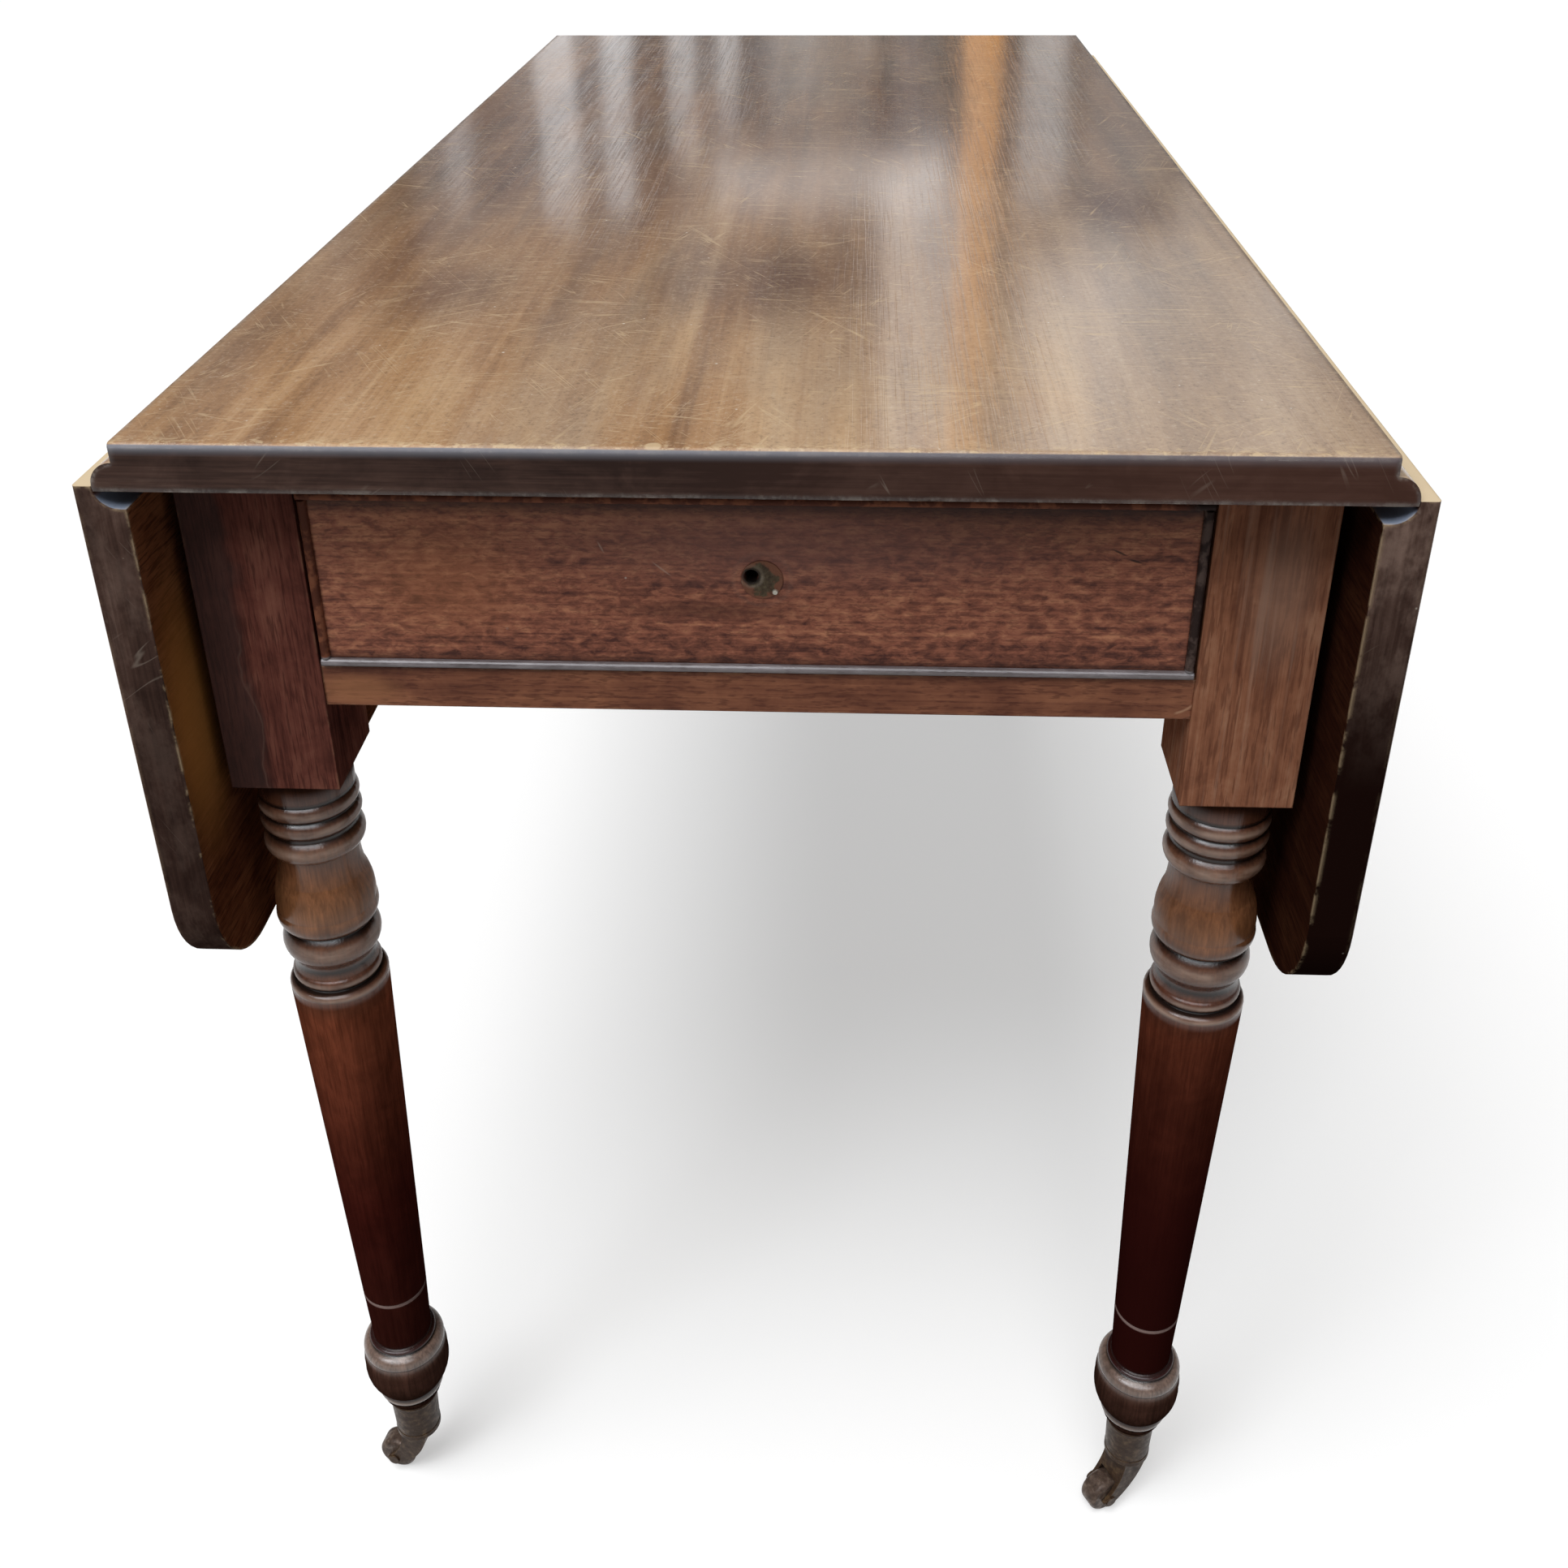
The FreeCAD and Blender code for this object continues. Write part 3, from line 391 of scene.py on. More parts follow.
def bared(recipe):
    """Share of bare wood on the top: scratches all over, scuffs, and flecks and a chip at the front."""
    fine = scratches(recipe, 0.35, first_kind, 1.0, (0.52, 0.66))
    for seed, angle in enumerate(fine_angles, 7):
        fine = recipe.most(fine, scratches(recipe, angle, fine_kind, seed, (0.48, 0.64)))
    hatch = scratches(recipe, right_angle, hatch_kind, 21.0, (0.52, 0.70))
    scuffs = scratches(recipe, 1.5, scuff_kind, 31.0, (0.40, 0.60))
    for centre, size in scuff_places:
        area = recipe.times(recipe.patch(centre, size, 0.9), 1.8)
        hatch = recipe.most(hatch, recipe.times(scuffs, area))
    bare = recipe.most(recipe.times(fine, 0.55), recipe.times(hatch, 0.38))
    flecks = recipe.noise(recipe.scaled((170.0, 260.0, 170.0), (9.0, 9.0, 9.0)), 4.0, 0.7)
    front = recipe.ramp(recipe.axis(1), top_front + fleck_reach, top_front)
    flecks = recipe.times(recipe.ramp(flecks, 0.50, 0.62), front)
    bare = recipe.most(bare, recipe.times(flecks, 0.85))
    return recipe.most(bare, recipe.times(recipe.patch(chip_place, chip_size, 0.3), 0.8))


def top_face(recipe):
    """Polished upper face: streaked grain, a grey painted reflection laid on as a bloom of old wax, stains,
    one of them a painted dark reflection, dirt, bare wood and dust.
    """
    base, height = grain(recipe, "Y", top_tones, 0.0, long_pores, 0.1, 0.14, top_figure, 0.7)
    deep, _ = grain(recipe, "Y", deep_tones, 1.0, long_pores, 0.1, 0.12, deep_figure, 0.5)
    uneven = recipe.minus(recipe.noise(recipe.scaled((16.0, 3.0, 1.0)), 5.0, 0.6), 0.5)
    back = recipe.ramp(recipe.plus(recipe.axis(1), recipe.times(uneven, 1.1)), *deep_span)
    base = recipe.tinted(base, back, 0.9, deep)
    reflection_bloom = recipe.ramp(recipe.plus(recipe.axis(0), recipe.times(uneven, 0.9)), *reflection_bloom_span)
    base = recipe.tinted(base, reflection_bloom, recipe.minus(0.5, recipe.times(back, 0.3)), reflection_bloom_colour)
    # Stains, and one painted dark reflection
    for centre, size in stain_and_reflection_places:
        base = recipe.tinted(base, recipe.patch(centre, size, 0.9), recipe.plus(0.60, uneven), stain_and_reflection_colour)
    dirt = recipe.speckle(420.0, 4.0, 0.7)
    base = recipe.mix(recipe.ramp(dirt, 0.50, 0.75, 0.0, 0.40), base, dark_dirt)
    base = recipe.mix(recipe.ramp(dirt, 0.48, 0.25, 0.0, 0.35), base, pale_dirt)
    bare = bared(recipe)
    base = recipe.mix(bare, base, bare_wood)
    specks = recipe.most(dust(recipe, 60.0, 0.05, 0.25), dust(recipe, 170.0, 0.11, 0.05))
    base = recipe.tinted(base, specks, 0.75, dust_colour)
    haze = recipe.noise(recipe.scaled((8.0, 3.0, 8.0), (4.0, 4.0, 4.0)), 4.0, 0.6)
    gloss = recipe.minus(recipe.ramp(haze, 0.35, 0.70, 1.0, 0.80), recipe.times(bare, 0.5))
    return base, gloss, height


def dark_edge(recipe, axis, shift):
    """Dark old finish of the board ends, with pale nicks."""
    base, height = grain(recipe, axis, edge_tones, shift, (40.0, 500.0), 0.35)
    marks = nicks(recipe, 0.5, (140.0, 3.0, 12.0), 0.012, 3.0 + shift)
    marks = recipe.most(marks, nicks(recipe, -0.9, (90.0, 3.0, 10.0), 0.012, 5.0 + shift))
    return recipe.tinted(base, marks, 0.4, nick_colour), height


def top_edge(recipe):
    """Board edge: warmer toward the right, with a painted cool highlight line along its upper arris."""
    base, height = dark_edge(recipe, "X", 3.0)
    base = recipe.mix(recipe.ramp(recipe.axis(0), *warm_span, 0.0, 0.4), base, warm_edge)
    # Painted highlight: a cool line along the upper arris, stronger at the left
    line = recipe.ramp(recipe.axis(2), top_surface - arris_highlight_height, top_surface)
    return recipe.tinted(base, line, recipe.ramp(recipe.axis(0), *arris_highlight_span, 0.25, 0.60), arris_highlight_colour), height


def top_wood():
    """Whole top: polished face, dark edges with a worn arris, and a dull underside."""
    recipe = Recipe("top_board")
    face, gloss, face_height = top_face(recipe)
    edge, edge_height = top_edge(recipe)
    under, _ = grain(recipe, "Y", under_tones, 4.0)
    up = recipe.faces(2, 1.0)
    down = recipe.faces(2, -1.0)
    base = recipe.mix(up, recipe.mix(down, edge, under), face)
    ridge = recipe.arris(top_arris)
    worn = recipe.times(ridge, recipe.ramp(recipe.speckle(60.0, 4.0, 0.65), 0.46, 0.60))
    base = recipe.tinted(base, worn, 0.55, worn_edge)
    coat = recipe.most(recipe.times(up, gloss), recipe.times(ridge, recipe.minus(0.9, down)))
    recipe.set(Specular_IOR_Level=0.04, Coat_Weight=coat, Coat_Roughness=0.08)
    height = recipe.plus(recipe.times(up, face_height), recipe.times(recipe.minus(1.0, up), edge_height))
    return recipe.finish(base, 0.45, height, top_relief, top_arris)


# Leaves: -1 is the left one, 1 is the right one

leaf_tones = (colour(74, 40, 28), colour(116, 70, 46), colour(150, 104, 72))
inner_tones = (colour(50, 24, 16), colour(88, 48, 30), colour(120, 74, 48))
dark_inside = colour(26, 12, 9)
painted_reflection_colour = colour(182, 122, 62)
mottle_colour = colour(146, 122, 110)
dark_end = colour(26, 13, 10)
tan_wood = colour(214, 194, 162)
cove_reflection_colour = colour(122, 132, 150)
painted_reflection_inset = 0.02
painted_reflection_place = (-0.255, top_front + painted_reflection_inset, 0.58)
painted_reflection_size = (0.05, 0.04, 0.09)
# Dark lower part of the leaf ends: where it begins, where it is full, and its share
lower_shades = {-1.0: (0.66, 0.52, 0.45), 1.0: (0.69, 0.56, 1.0)}
mottle_shares = {-1.0: 0.2, 1.0: 0.5}
# The bare strip lies between these depths below the leaf's upper edge
strip_depths = (0.0012, 0.0004)
leaf_arris = 0.003
leaf_relief = 0.00004


def leaf_inside(recipe, side):
    """Dull inner face: dark at the right, with a golden painted reflection at the left."""
    base, _ = grain(recipe, "Y", inner_tones, 9.0 + side)
    if side > 0:
        return recipe.mix(0.8, base, dark_inside)
    # Golden painted reflection on the left leaf's inner face
    return recipe.tinted(base, recipe.patch(painted_reflection_place, painted_reflection_size, 0.9), 0.75, painted_reflection_colour)


def leaf_end(recipe, side):
    """Mottled end of a leaf, darker toward its lower corner."""
    base, _ = dark_edge(recipe, "Z", 12.0 + side)
    mottle = recipe.noise(recipe.scaled((70.0, 70.0, 40.0), (side, side, side)), 4.0, 0.65)
    base = recipe.mix(recipe.ramp(mottle, 0.42, 0.66, 0.0, mottle_shares[side]), base, mottle_colour)
    start, full, share = lower_shades[side]
    return recipe.mix(recipe.ramp(recipe.axis(2), start, full, 0.0, share), base, dark_end)


def leaf_wood(side):
    """Hanging leaf: polished outside, dull inside, dark ends, a bare strip beside the cove, and a bluish
    painted reflection of the sky on the cove.
    """
    recipe = Recipe("leaf_left" if side < 0 else "leaf_right")
    outside, height = grain(recipe, "Y", leaf_tones, 6.0 + side, long_pores, 0.4)
    out = recipe.faces(0, side)
    base = recipe.mix(out, leaf_end(recipe, side), outside)
    base = recipe.mix(recipe.faces(0, -side), base, leaf_inside(recipe, side))
    strip = recipe.ramp(recipe.axis(2), *(leaf_top - depth for depth in strip_depths))
    # Bluish painted reflection of the sky on the cove; the bare strip above it is tan
    cove = recipe.mix(strip, cove_reflection_colour, tan_wood)
    base = recipe.mix(recipe.ramp(recipe.axis(2, recipe.normal), 0.30, 0.60), base, cove)
    base = recipe.tinted(base, rubbed(recipe, leaf_arris, 70.0, (0.42, 0.56)), 0.6, bare_wood)
    base = recipe.tinted(base, dust(recipe, 70.0, 0.06, 0.15), 0.4, dust_colour)
    recipe.set(Specular_IOR_Level=0.0, Coat_Weight=out, Coat_Roughness=0.16)
    return recipe.finish(base, 0.45, height, leaf_relief)


# Legs

plain_shades = (colour(150, 150, 150), colour(205, 205, 205), colour(255, 255, 255))
back_tones = (colour(66, 36, 28), colour(104, 60, 46), colour(134, 84, 64))
block_tones = {
    "front_left": (colour(62, 34, 30), colour(102, 59, 50), colour(128, 82, 68)),
    "front_right": (colour(102, 63, 48), colour(145, 96, 72), colour(176, 130, 102)),
    "back_left": back_tones,
    "back_right": back_tones,
}
# Tone of the turned part at each height; the pale grey-tan band on the foot's shoulder, from 0.1205 to
# 0.1262, is a painted highlight
turned_stops = (
    (0.072, colour(62, 40, 32)),
    (0.112, colour(78, 52, 43)),
    (0.1185, colour(106, 80, 69)),
    (0.1205, colour(138, 116, 104)),
    (0.1262, colour(136, 112, 100)),
    (0.1275, colour(64, 34, 27)),
    (0.250, colour(94, 39, 30)),
    (0.390, colour(146, 79, 55)),
    (0.406, colour(124, 78, 58)),
    (0.440, colour(128, 82, 58)),
    (0.455, colour(176, 118, 77)),
    (0.486, colour(150, 97, 66)),
    (0.500, colour(122, 80, 60)),
    (0.535, colour(118, 72, 52)),
)
# Painted shade on the tapers, darker toward the floor: share where the painted shade is full, and the
# height where it begins
back_painted_shade = (0.6, 0.43)
taper_painted_shades = {
    "front_left": (0.55, 0.43),
    "front_right": (0.95, 0.58),
    "back_left": back_painted_shade,
    "back_right": back_painted_shade,
}
taper_shade_full = 0.20
taper_shade_foot = (0.1265, 0.1285)
taper_shade_colour = colour(42, 13, 11)
# Rings, each a height and a reach: dirt and painted shade lie in the grooves, and the crests are worn pale
groove_heights = (
    (0.5215, 0.0025),
    (0.5115, 0.0025),
    (0.5005, 0.0035),
    (0.4405, 0.0040),
    (0.4190, 0.0040),
    (0.4076, 0.0020),
)
crest_heights = (
    (0.5165, 0.0035),
    (0.5065, 0.0035),
    (0.4940, 0.0045),
    (0.4325, 0.0060),
    (0.4110, 0.0025),
    (0.4045, 0.0025),
    (0.0835, 0.0025),
)
vase_height = (0.467, 0.018)
scribed_height = (0.1685, 0.0018)
# Painted shadow under the square block, along the neck
neck_shadow_span = (0.520, 0.533)
groove_reach = 0.008
crest_colour = colour(172, 146, 128)
scribed_highlight_colour = colour(166, 142, 136)
# Bright polish, each a rise and a fall along the height
ring_spans = ((0.398, 0.403), (0.531, 0.524))
shoulder_spans = ((0.1145, 0.1185), (0.133, 0.127))
bead_spans = ((0.0800, 0.0815), (0.0870, 0.0860))
# Marks on the square blocks, and painted reflections on them
reflection_strip_colour = colour(58, 48, 46)
reflection_strip_span = (-0.223, -0.231)
reflection_strip_ragged = 0.024
crack_x = (-0.2285, 0.0009)
crack_span = (0.64, 0.60)
crack_colour = colour(128, 104, 92)
reflection_haze_place = (0.226, drawer_face, 0.645)
reflection_haze_size = (0.020, 0.02, 0.055)
streak_and_reflection_colour = colour(160, 128, 110)
block_worn = colour(150, 112, 88)
block_arris = 0.0025
leg_relief = 0.00003
block_seam = 0.0005
block_span = (block_bottom - block_seam, block_bottom + block_seam)


def turned_base(recipe, shift, depth, start):
    """Turned part of a leg: its own tone at each height, painted shade darkening the taper toward the
    floor, dirt and painted shade in the grooves, a painted shadow under the block and a painted highlight
    on the scribed line.
    """
    shade, height = grain(recipe, "Z", plain_shades, shift, (40.0, 600.0), 0.45)
    z = recipe.axis(2)
    low = turned_stops[0][0]
    span = turned_stops[-1][0] - low
    stops = [((level - low) / span, tint) for level, tint in turned_stops]
    tone = recipe.shades(recipe.times(recipe.minus(z, low), 1.0 / span), stops)
    base = recipe.mix(1.0, tone, shade, "MULTIPLY")
    # Painted shade: the taper darkens toward the floor, above the foot's shoulder
    painted_shade = recipe.times(recipe.ramp(z, start, taper_shade_full, 0.0, depth), recipe.ramp(z, *taper_shade_foot))
    base = recipe.mix(painted_shade, base, taper_shade_colour)
    rubs = recipe.noise(recipe.scaled((60.0, 60.0, 200.0), (shift, shift, shift)), 3.0)
    rubs = recipe.ramp(rubs, 0.30, 0.65, 0.15, 0.60)
    for crest in crest_heights:
        base = recipe.tinted(base, recipe.near(z, *crest), rubs, crest_colour)
    # Dirt and painted shade in the grooves, from the hollows and the ring heights
    grime = recipe.ramp(recipe.hollow(groove_reach), 0.10, 0.38)
    for groove in groove_heights:
        grime = recipe.most(grime, recipe.near(z, *groove))
    # Painted shadow under the square block
    grime = recipe.most(grime, recipe.ramp(z, *neck_shadow_span, 0.0, 0.75))
    base = recipe.tinted(base, grime, 0.92, dirt_and_shade_colour)
    # Painted highlight along the fine scribed groove
    return recipe.tinted(base, recipe.near(z, *scribed_height), 0.8, scribed_highlight_colour), height


def ring_polish(recipe):
    """1 on the turned rings and the foot, where hands and cloths have kept the polish bright."""
    z = recipe.axis(2)
    vase = recipe.times(recipe.near(z, *vase_height), 0.5)
    rings = recipe.times(recipe.between(z, *ring_spans), recipe.minus(0.8, vase))
    foot = recipe.most(recipe.between(z, *shoulder_spans), recipe.between(z, *bead_spans))
    return recipe.most(rings, foot)


def left_block(recipe, base):
    """Painted dark reflection along the left of the block, with a ragged edge and a thin crack beside it.
    """
    ragged = recipe.minus(recipe.noise(recipe.scaled((40.0, 40.0, 22.0)), 3.0), 0.5)
    edge = recipe.plus(recipe.axis(0), recipe.times(ragged, reflection_strip_ragged))
    # Painted reflection: a greyish dark strip along the left of the block
    base = recipe.mix(recipe.ramp(edge, *reflection_strip_span, 0.0, 0.65), base, reflection_strip_colour)
    crack = recipe.times(recipe.near(edge, *crack_x), recipe.ramp(recipe.axis(2), *crack_span))
    return recipe.tinted(base, crack, 0.2, crack_colour)


def right_block(recipe, base):
    """Pale streaks, and a painted reflection as a haze on the block."""
    streak = recipe.noise(recipe.scaled((260.0, 260.0, 7.0)), 3.0, 0.6)
    # Painted reflection: a pale haze on the block
    haze = recipe.times(recipe.patch(reflection_haze_place, reflection_haze_size, 0.9), 0.45)
    pale = recipe.plus(recipe.ramp(streak, 0.52, 0.70, 0.0, 0.35), haze)
    return recipe.mix(pale, base, streak_and_reflection_colour)


block_marks = {"front_left": left_block, "front_right": right_block}


def leg_wood(corner, shift):
    """One leg: square block with its own marks over the turned part."""
    recipe = Recipe("leg_" + corner)
    block, block_height = grain(recipe, "Z", block_tones[corner], shift)
    if corner in block_marks:
        block = block_marks[corner](recipe, block)
    turned, turned_height = turned_base(recipe, shift + 5.0, *taper_painted_shades[corner])
    square = recipe.ramp(recipe.axis(2), *block_span)
    base = recipe.mix(square, turned, block)
    worn = rubbed(recipe, block_arris, 70.0, (0.50, 0.66))
    base = recipe.tinted(base, worn, recipe.times(square, 0.45), block_worn)
    stain = recipe.noise(recipe.scaled((30.0, 30.0, 18.0), (shift, 0.0, shift)), 3.0, 0.6)
    rough = recipe.ramp(stain, 0.35, 0.70, 0.24, 0.42)
    recipe.set(Specular_IOR_Level=0.0, Coat_Weight=ring_polish(recipe), Coat_Roughness=0.22)
    return recipe.finish(base, rough, recipe.plus(block_height, turned_height), leg_relief)


# Rails

rail_tones = (colour(78, 42, 32), colour(122, 76, 56), colour(154, 102, 74))
rail_arris = 0.002
rail_relief = 0.00006
rail_worn = colour(176, 138, 108)
frame_worn = colour(160, 122, 96)
light_place = (-0.178, rail_front, 0.589)
light_size = (0.026, 0.02, 0.011)
light_colour = colour(170, 116, 80)
# A quarter of a ring mark in the right corner
ring_place = (0.1835, rail_front, 0.598)
ring_size = (0.0145, 0.02, 0.0145)
ring_right = (0.186, 0.188)
ring_lower = (0.596, 0.592)
ring_colour = colour(190, 150, 118)


def rail_wood():
    """Rail under the drawer: a light place at the left, part of a ring mark at the right."""
    recipe = Recipe("drawer_rail")
    base, height = grain(recipe, "X", rail_tones, 2.0, (130.0, 700.0), 0.55)
    base = recipe.tinted(base, recipe.patch(light_place, light_size, 0.7), 0.5, light_colour)
    ring = recipe.near(recipe.around(ring_place, ring_size), 1.0, 0.07)
    right = recipe.ramp(recipe.axis(0), *ring_right)
    corner = recipe.times(right, recipe.ramp(recipe.axis(2), *ring_lower))
    base = recipe.tinted(base, recipe.times(ring, corner), 0.6, ring_colour)
    base = recipe.tinted(base, rubbed(recipe, rail_arris, 80.0, (0.48, 0.62)), 0.6, rail_worn)
    recipe.set(Specular_IOR_Level=0.10)
    return recipe.finish(base, 0.40, height, rail_relief)


def frame_wood(axis):
    """Plain mahogany of the frame's other rails."""
    recipe = Recipe("frame_" + axis.lower())
    base, height = grain(recipe, axis, rail_tones, 17.0, (60.0, 700.0), 0.55)
    base = recipe.tinted(base, rubbed(recipe, rail_arris, 80.0, (0.50, 0.64)), 0.4, frame_worn)
    recipe.set(Specular_IOR_Level=0.10)
    return recipe.finish(base, 0.45, height, rail_relief)


# Drawer

drawer_tones = (colour(76, 43, 36), colour(146, 90, 70), colour(188, 128, 96))
drawer_pores = (230.0, 760.0)
drawer_figure = (120.0, 230.0)
drawer_relief = 0.00008
# Patches of another tone: place, size, soft share, strength and colour; the dark one at the upper right is
# painted shadow
drawer_patches = (
    ((0.02, drawer_face, 0.668), (0.16, 0.05, 0.035), 0.9, 0.50, colour(124, 88, 82)),
    ((-0.018, drawer_face, 0.632), (0.055, 0.05, 0.007), 0.8, 0.55, colour(62, 34, 27)),
    # Painted shadow of the top at the upper right
    ((0.125, drawer_face, 0.682), (0.13, 0.05, 0.026), 0.9, 0.5, colour(52, 30, 25)),
    ((-0.135, drawer_face, 0.645), (0.055, 0.05, 0.04), 0.9, 0.35, colour(164, 104, 68)),
)
# Grime along the left, right and lower edges, painted shadow along the upper edge, and a darker painted
# shadow line under the top
grime_start = 0.186
left_span = (-grime_start, drawer_low[0])
right_span = (grime_start, drawer_high[0])
lower_span = (0.6115, 0.6055)
upper_shadow_span = (0.672, drawer_high[2])
painted_shadow_depths = (0.013, 0.002)
edge_grime_and_shadow_colour = colour(40, 25, 22)
painted_shadow_colour = colour(26, 15, 12)
ghost_size = (0.0125, 0.05, 0.0125)
ghost_colour = colour(150, 120, 104)
keyhole_size = (0.0034, 0.05, 0.0044)
# Straight marks: two (x, z) ends and a width
mark_colour = colour(186, 158, 140)
pale_marks = (
    ((-0.0658, 0.6654), (-0.0627, 0.6586), 0.0006),
    ((-0.0436, 0.6562), (-0.0335, 0.6477), 0.0006),
)
crack_marks = (
    ((0.151, 0.6647), (0.160, 0.6605), 0.0007),
    ((0.158, 0.6600), (0.167, 0.6572), 0.0008),
)


def line_marks(recipe, marks):
    """1 along straight marks on the drawer's face."""
    found = 0.0
    for start, end, width in marks:
        middle = ((start[0] + end[0]) / 2, drawer_face, (start[1] + end[1]) / 2)
        reach = math.dist(start, end) / 2
        tilt = math.atan2(end[1] - start[1], end[0] - start[0])
        moved = recipe.scaled((1.0, 1.0, 1.0), tuple(-value for value in middle))
        turned = recipe.scaled((1.0, 1.0, 1.0), turn=(0.0, tilt, 0.0), source=moved)
        shares = recipe.scaled((1.0 / reach, 0.0, 1.0 / width), source=turned)
        found = recipe.most(found, recipe.ramp(recipe.length(shares), 1.0, 0.3))
    return found


def drawer_grime(recipe, base):
    """Dark edges of the drawer's face: grime at the sides and below, painted shadow of the top above."""
    x = recipe.axis(0)
    z = recipe.axis(2)
    edge = recipe.most(recipe.ramp(x, *left_span, 0.0, 0.5), recipe.ramp(x, *right_span))
    edge = recipe.most(edge, recipe.ramp(z, *lower_span))
    edge = recipe.most(edge, recipe.ramp(z, *upper_shadow_span))
    base = recipe.tinted(base, edge, 0.6, edge_grime_and_shadow_colour)
    # Painted shadow line right under the top
    shadow = recipe.ramp(z, *(drawer_high[2] - depth for depth in painted_shadow_depths))
    return recipe.tinted(base, shadow, 0.75, painted_shadow_colour)


def drawer_wood():
    """Drawer front: short dark pores, mottled red-brown, grime along its edges, painted shadow under the
    top, a keyhole painted dark as shade and a few marks.
    """
    recipe = Recipe("drawer_front")
    base, height = grain(recipe, "X", drawer_tones, 5.0, drawer_pores, 0.45, 0.45, drawer_figure, 0.85)
    for centre, size, soft, share, tint in drawer_patches:
        base = recipe.tinted(base, recipe.patch(centre, size, soft), share, tint)
    base = drawer_grime(recipe, base)
    ghost = recipe.near(recipe.around(plate_place, ghost_size), 1.0, 0.14)
    base = recipe.tinted(base, ghost, 0.12, ghost_colour)
    # The keyhole painted dark: painted shade inside the hole
    base = recipe.mix(recipe.patch(keyhole_place, keyhole_size, 0.2), base, dirt_and_shade_colour)
    base = recipe.tinted(base, line_marks(recipe, pale_marks), 0.5, mark_colour)
    cracks = line_marks(recipe, crack_marks)
    base = recipe.tinted(base, cracks, 0.85, dirt_and_shade_colour)
    base = recipe.tinted(base, dust(recipe, 75.0, 0.06, 0.10), 0.45, dust_colour)
    recipe.set(Specular_IOR_Level=0.12)
    return recipe.finish(base, 0.40, recipe.minus(height, cracks), drawer_relief)


# Strips round the drawer

lowest_bead_highlight_tones = (colour(62, 52, 52), colour(100, 91, 92), colour(134, 127, 129))
grey_tones = (colour(44, 33, 30), colour(86, 71, 65))
brown_tones = (colour(84, 48, 36), colour(124, 76, 55))
bead_relief = 0.00004
lowest_heights = (0.0055, 0.0045)
grey_span = (0.178, 0.186)


def bead_wood():
    """Strips round the drawer: glossy below with a pale grey painted highlight, worn dark at the right,
    brown elsewhere.
    """
    recipe = Recipe("drawer_cockbead")
    base, height = grain(recipe, "X", lowest_bead_highlight_tones, 8.0, (120.0, 700.0), 0.4)
    # The lowest strip is painted pale grey as a highlight
    lowest = recipe.ramp(recipe.axis(2), *(drawer_low[2] + rise for rise in lowest_heights))
    chips = recipe.ramp(recipe.speckle(160.0, 3.0, 0.6), 0.45, 0.62)
    grey = recipe.mix(chips, *grey_tones)
    brown = recipe.mix(chips, *brown_tones)
    sides = recipe.mix(recipe.ramp(recipe.axis(0), *grey_span), brown, grey)
    recipe.set(Specular_IOR_Level=0.05, Coat_Weight=recipe.times(lowest, 0.85), Coat_Roughness=0.25)
    return recipe.finish(recipe.mix(lowest, sides, base), 0.45, height, bead_relief)


# Plain wood inside

pine_tones = (colour(142, 104, 66), colour(178, 140, 94), colour(204, 170, 122))
pine_dirt = colour(96, 68, 44)
pine_corner = colour(58, 42, 30)
pine_reach = 0.02
pine_relief = 0.00015


def pine_wood(axis):
    """Unpolished pine with dirt in its corners."""
    recipe = Recipe("pine_" + axis.lower())
    base, height = grain(recipe, axis, pine_tones, 15.0, (20.0, 300.0), 0.3)
    base = recipe.mix(recipe.ramp(recipe.speckle(6.0, 4.0, 0.6), 0.45, 0.75, 0.0, 0.5), base, pine_dirt)
    corner = recipe.ramp(recipe.hollow(pine_reach), 0.25, 0.70)
    base = recipe.tinted(base, corner, 0.6, pine_corner)
    return recipe.finish(base, 0.72, height, pine_relief)


# Metal

brass_tones = (colour(42, 29, 21), colour(56, 40, 28), colour(98, 77, 53))
wheel_tones = (colour(50, 39, 33), colour(82, 67, 58), colour(132, 117, 105))
steel_tones = (colour(46, 40, 36), colour(82, 74, 68), colour(116, 108, 100))
metal_steps = (0.30, 0.52, 0.80)
metal_arris = 0.0012
metal_reach = 0.004
metal_ease = 0.0006
metal_relief = 0.00002
crust_stops = ((0.34, colour(46, 36, 27)), (0.50, colour(72, 60, 44)), (0.68, colour(92, 82, 62)))
plate_size = (0.009, 0.05, 0.009)
plate_edge = colour(112, 72, 54)
hole_size = (0.0048, 0.05, 0.0048)
hole_rim = colour(138, 126, 112)
pin_size = (0.0014, 0.01, 0.0014)
pin_glint_colour = colour(196, 190, 176)
plate_ease = 0.0004
plate_relief = 0.0003


def aged_metal(name, tones, rough, polish):
    """Dark patina with rubbed bright edges and grime in the hollows."""
    recipe = Recipe(name)
    stain = recipe.speckle(260.0, 4.0, 0.6)
    base = recipe.shades(stain, tuple(zip(metal_steps, tones)))
    base = recipe.tinted(base, rubbed(recipe, metal_arris, 300.0, (0.40, 0.60)), polish, tones[2])
    grime = recipe.ramp(recipe.hollow(metal_reach), 0.30, 0.70)
    base = recipe.tinted(base, grime, 0.7, dirt_and_shade_colour)
    pits = recipe.speckle(700.0, 3.0, 0.6)
    recipe.set(Metallic=0.2, Specular_IOR_Level=0.15)
    uneven = recipe.ramp(stain, 0.3, 0.7, rough + 0.12, rough - 0.05)
    return recipe.finish(base, uneven, pits, metal_relief, metal_ease)


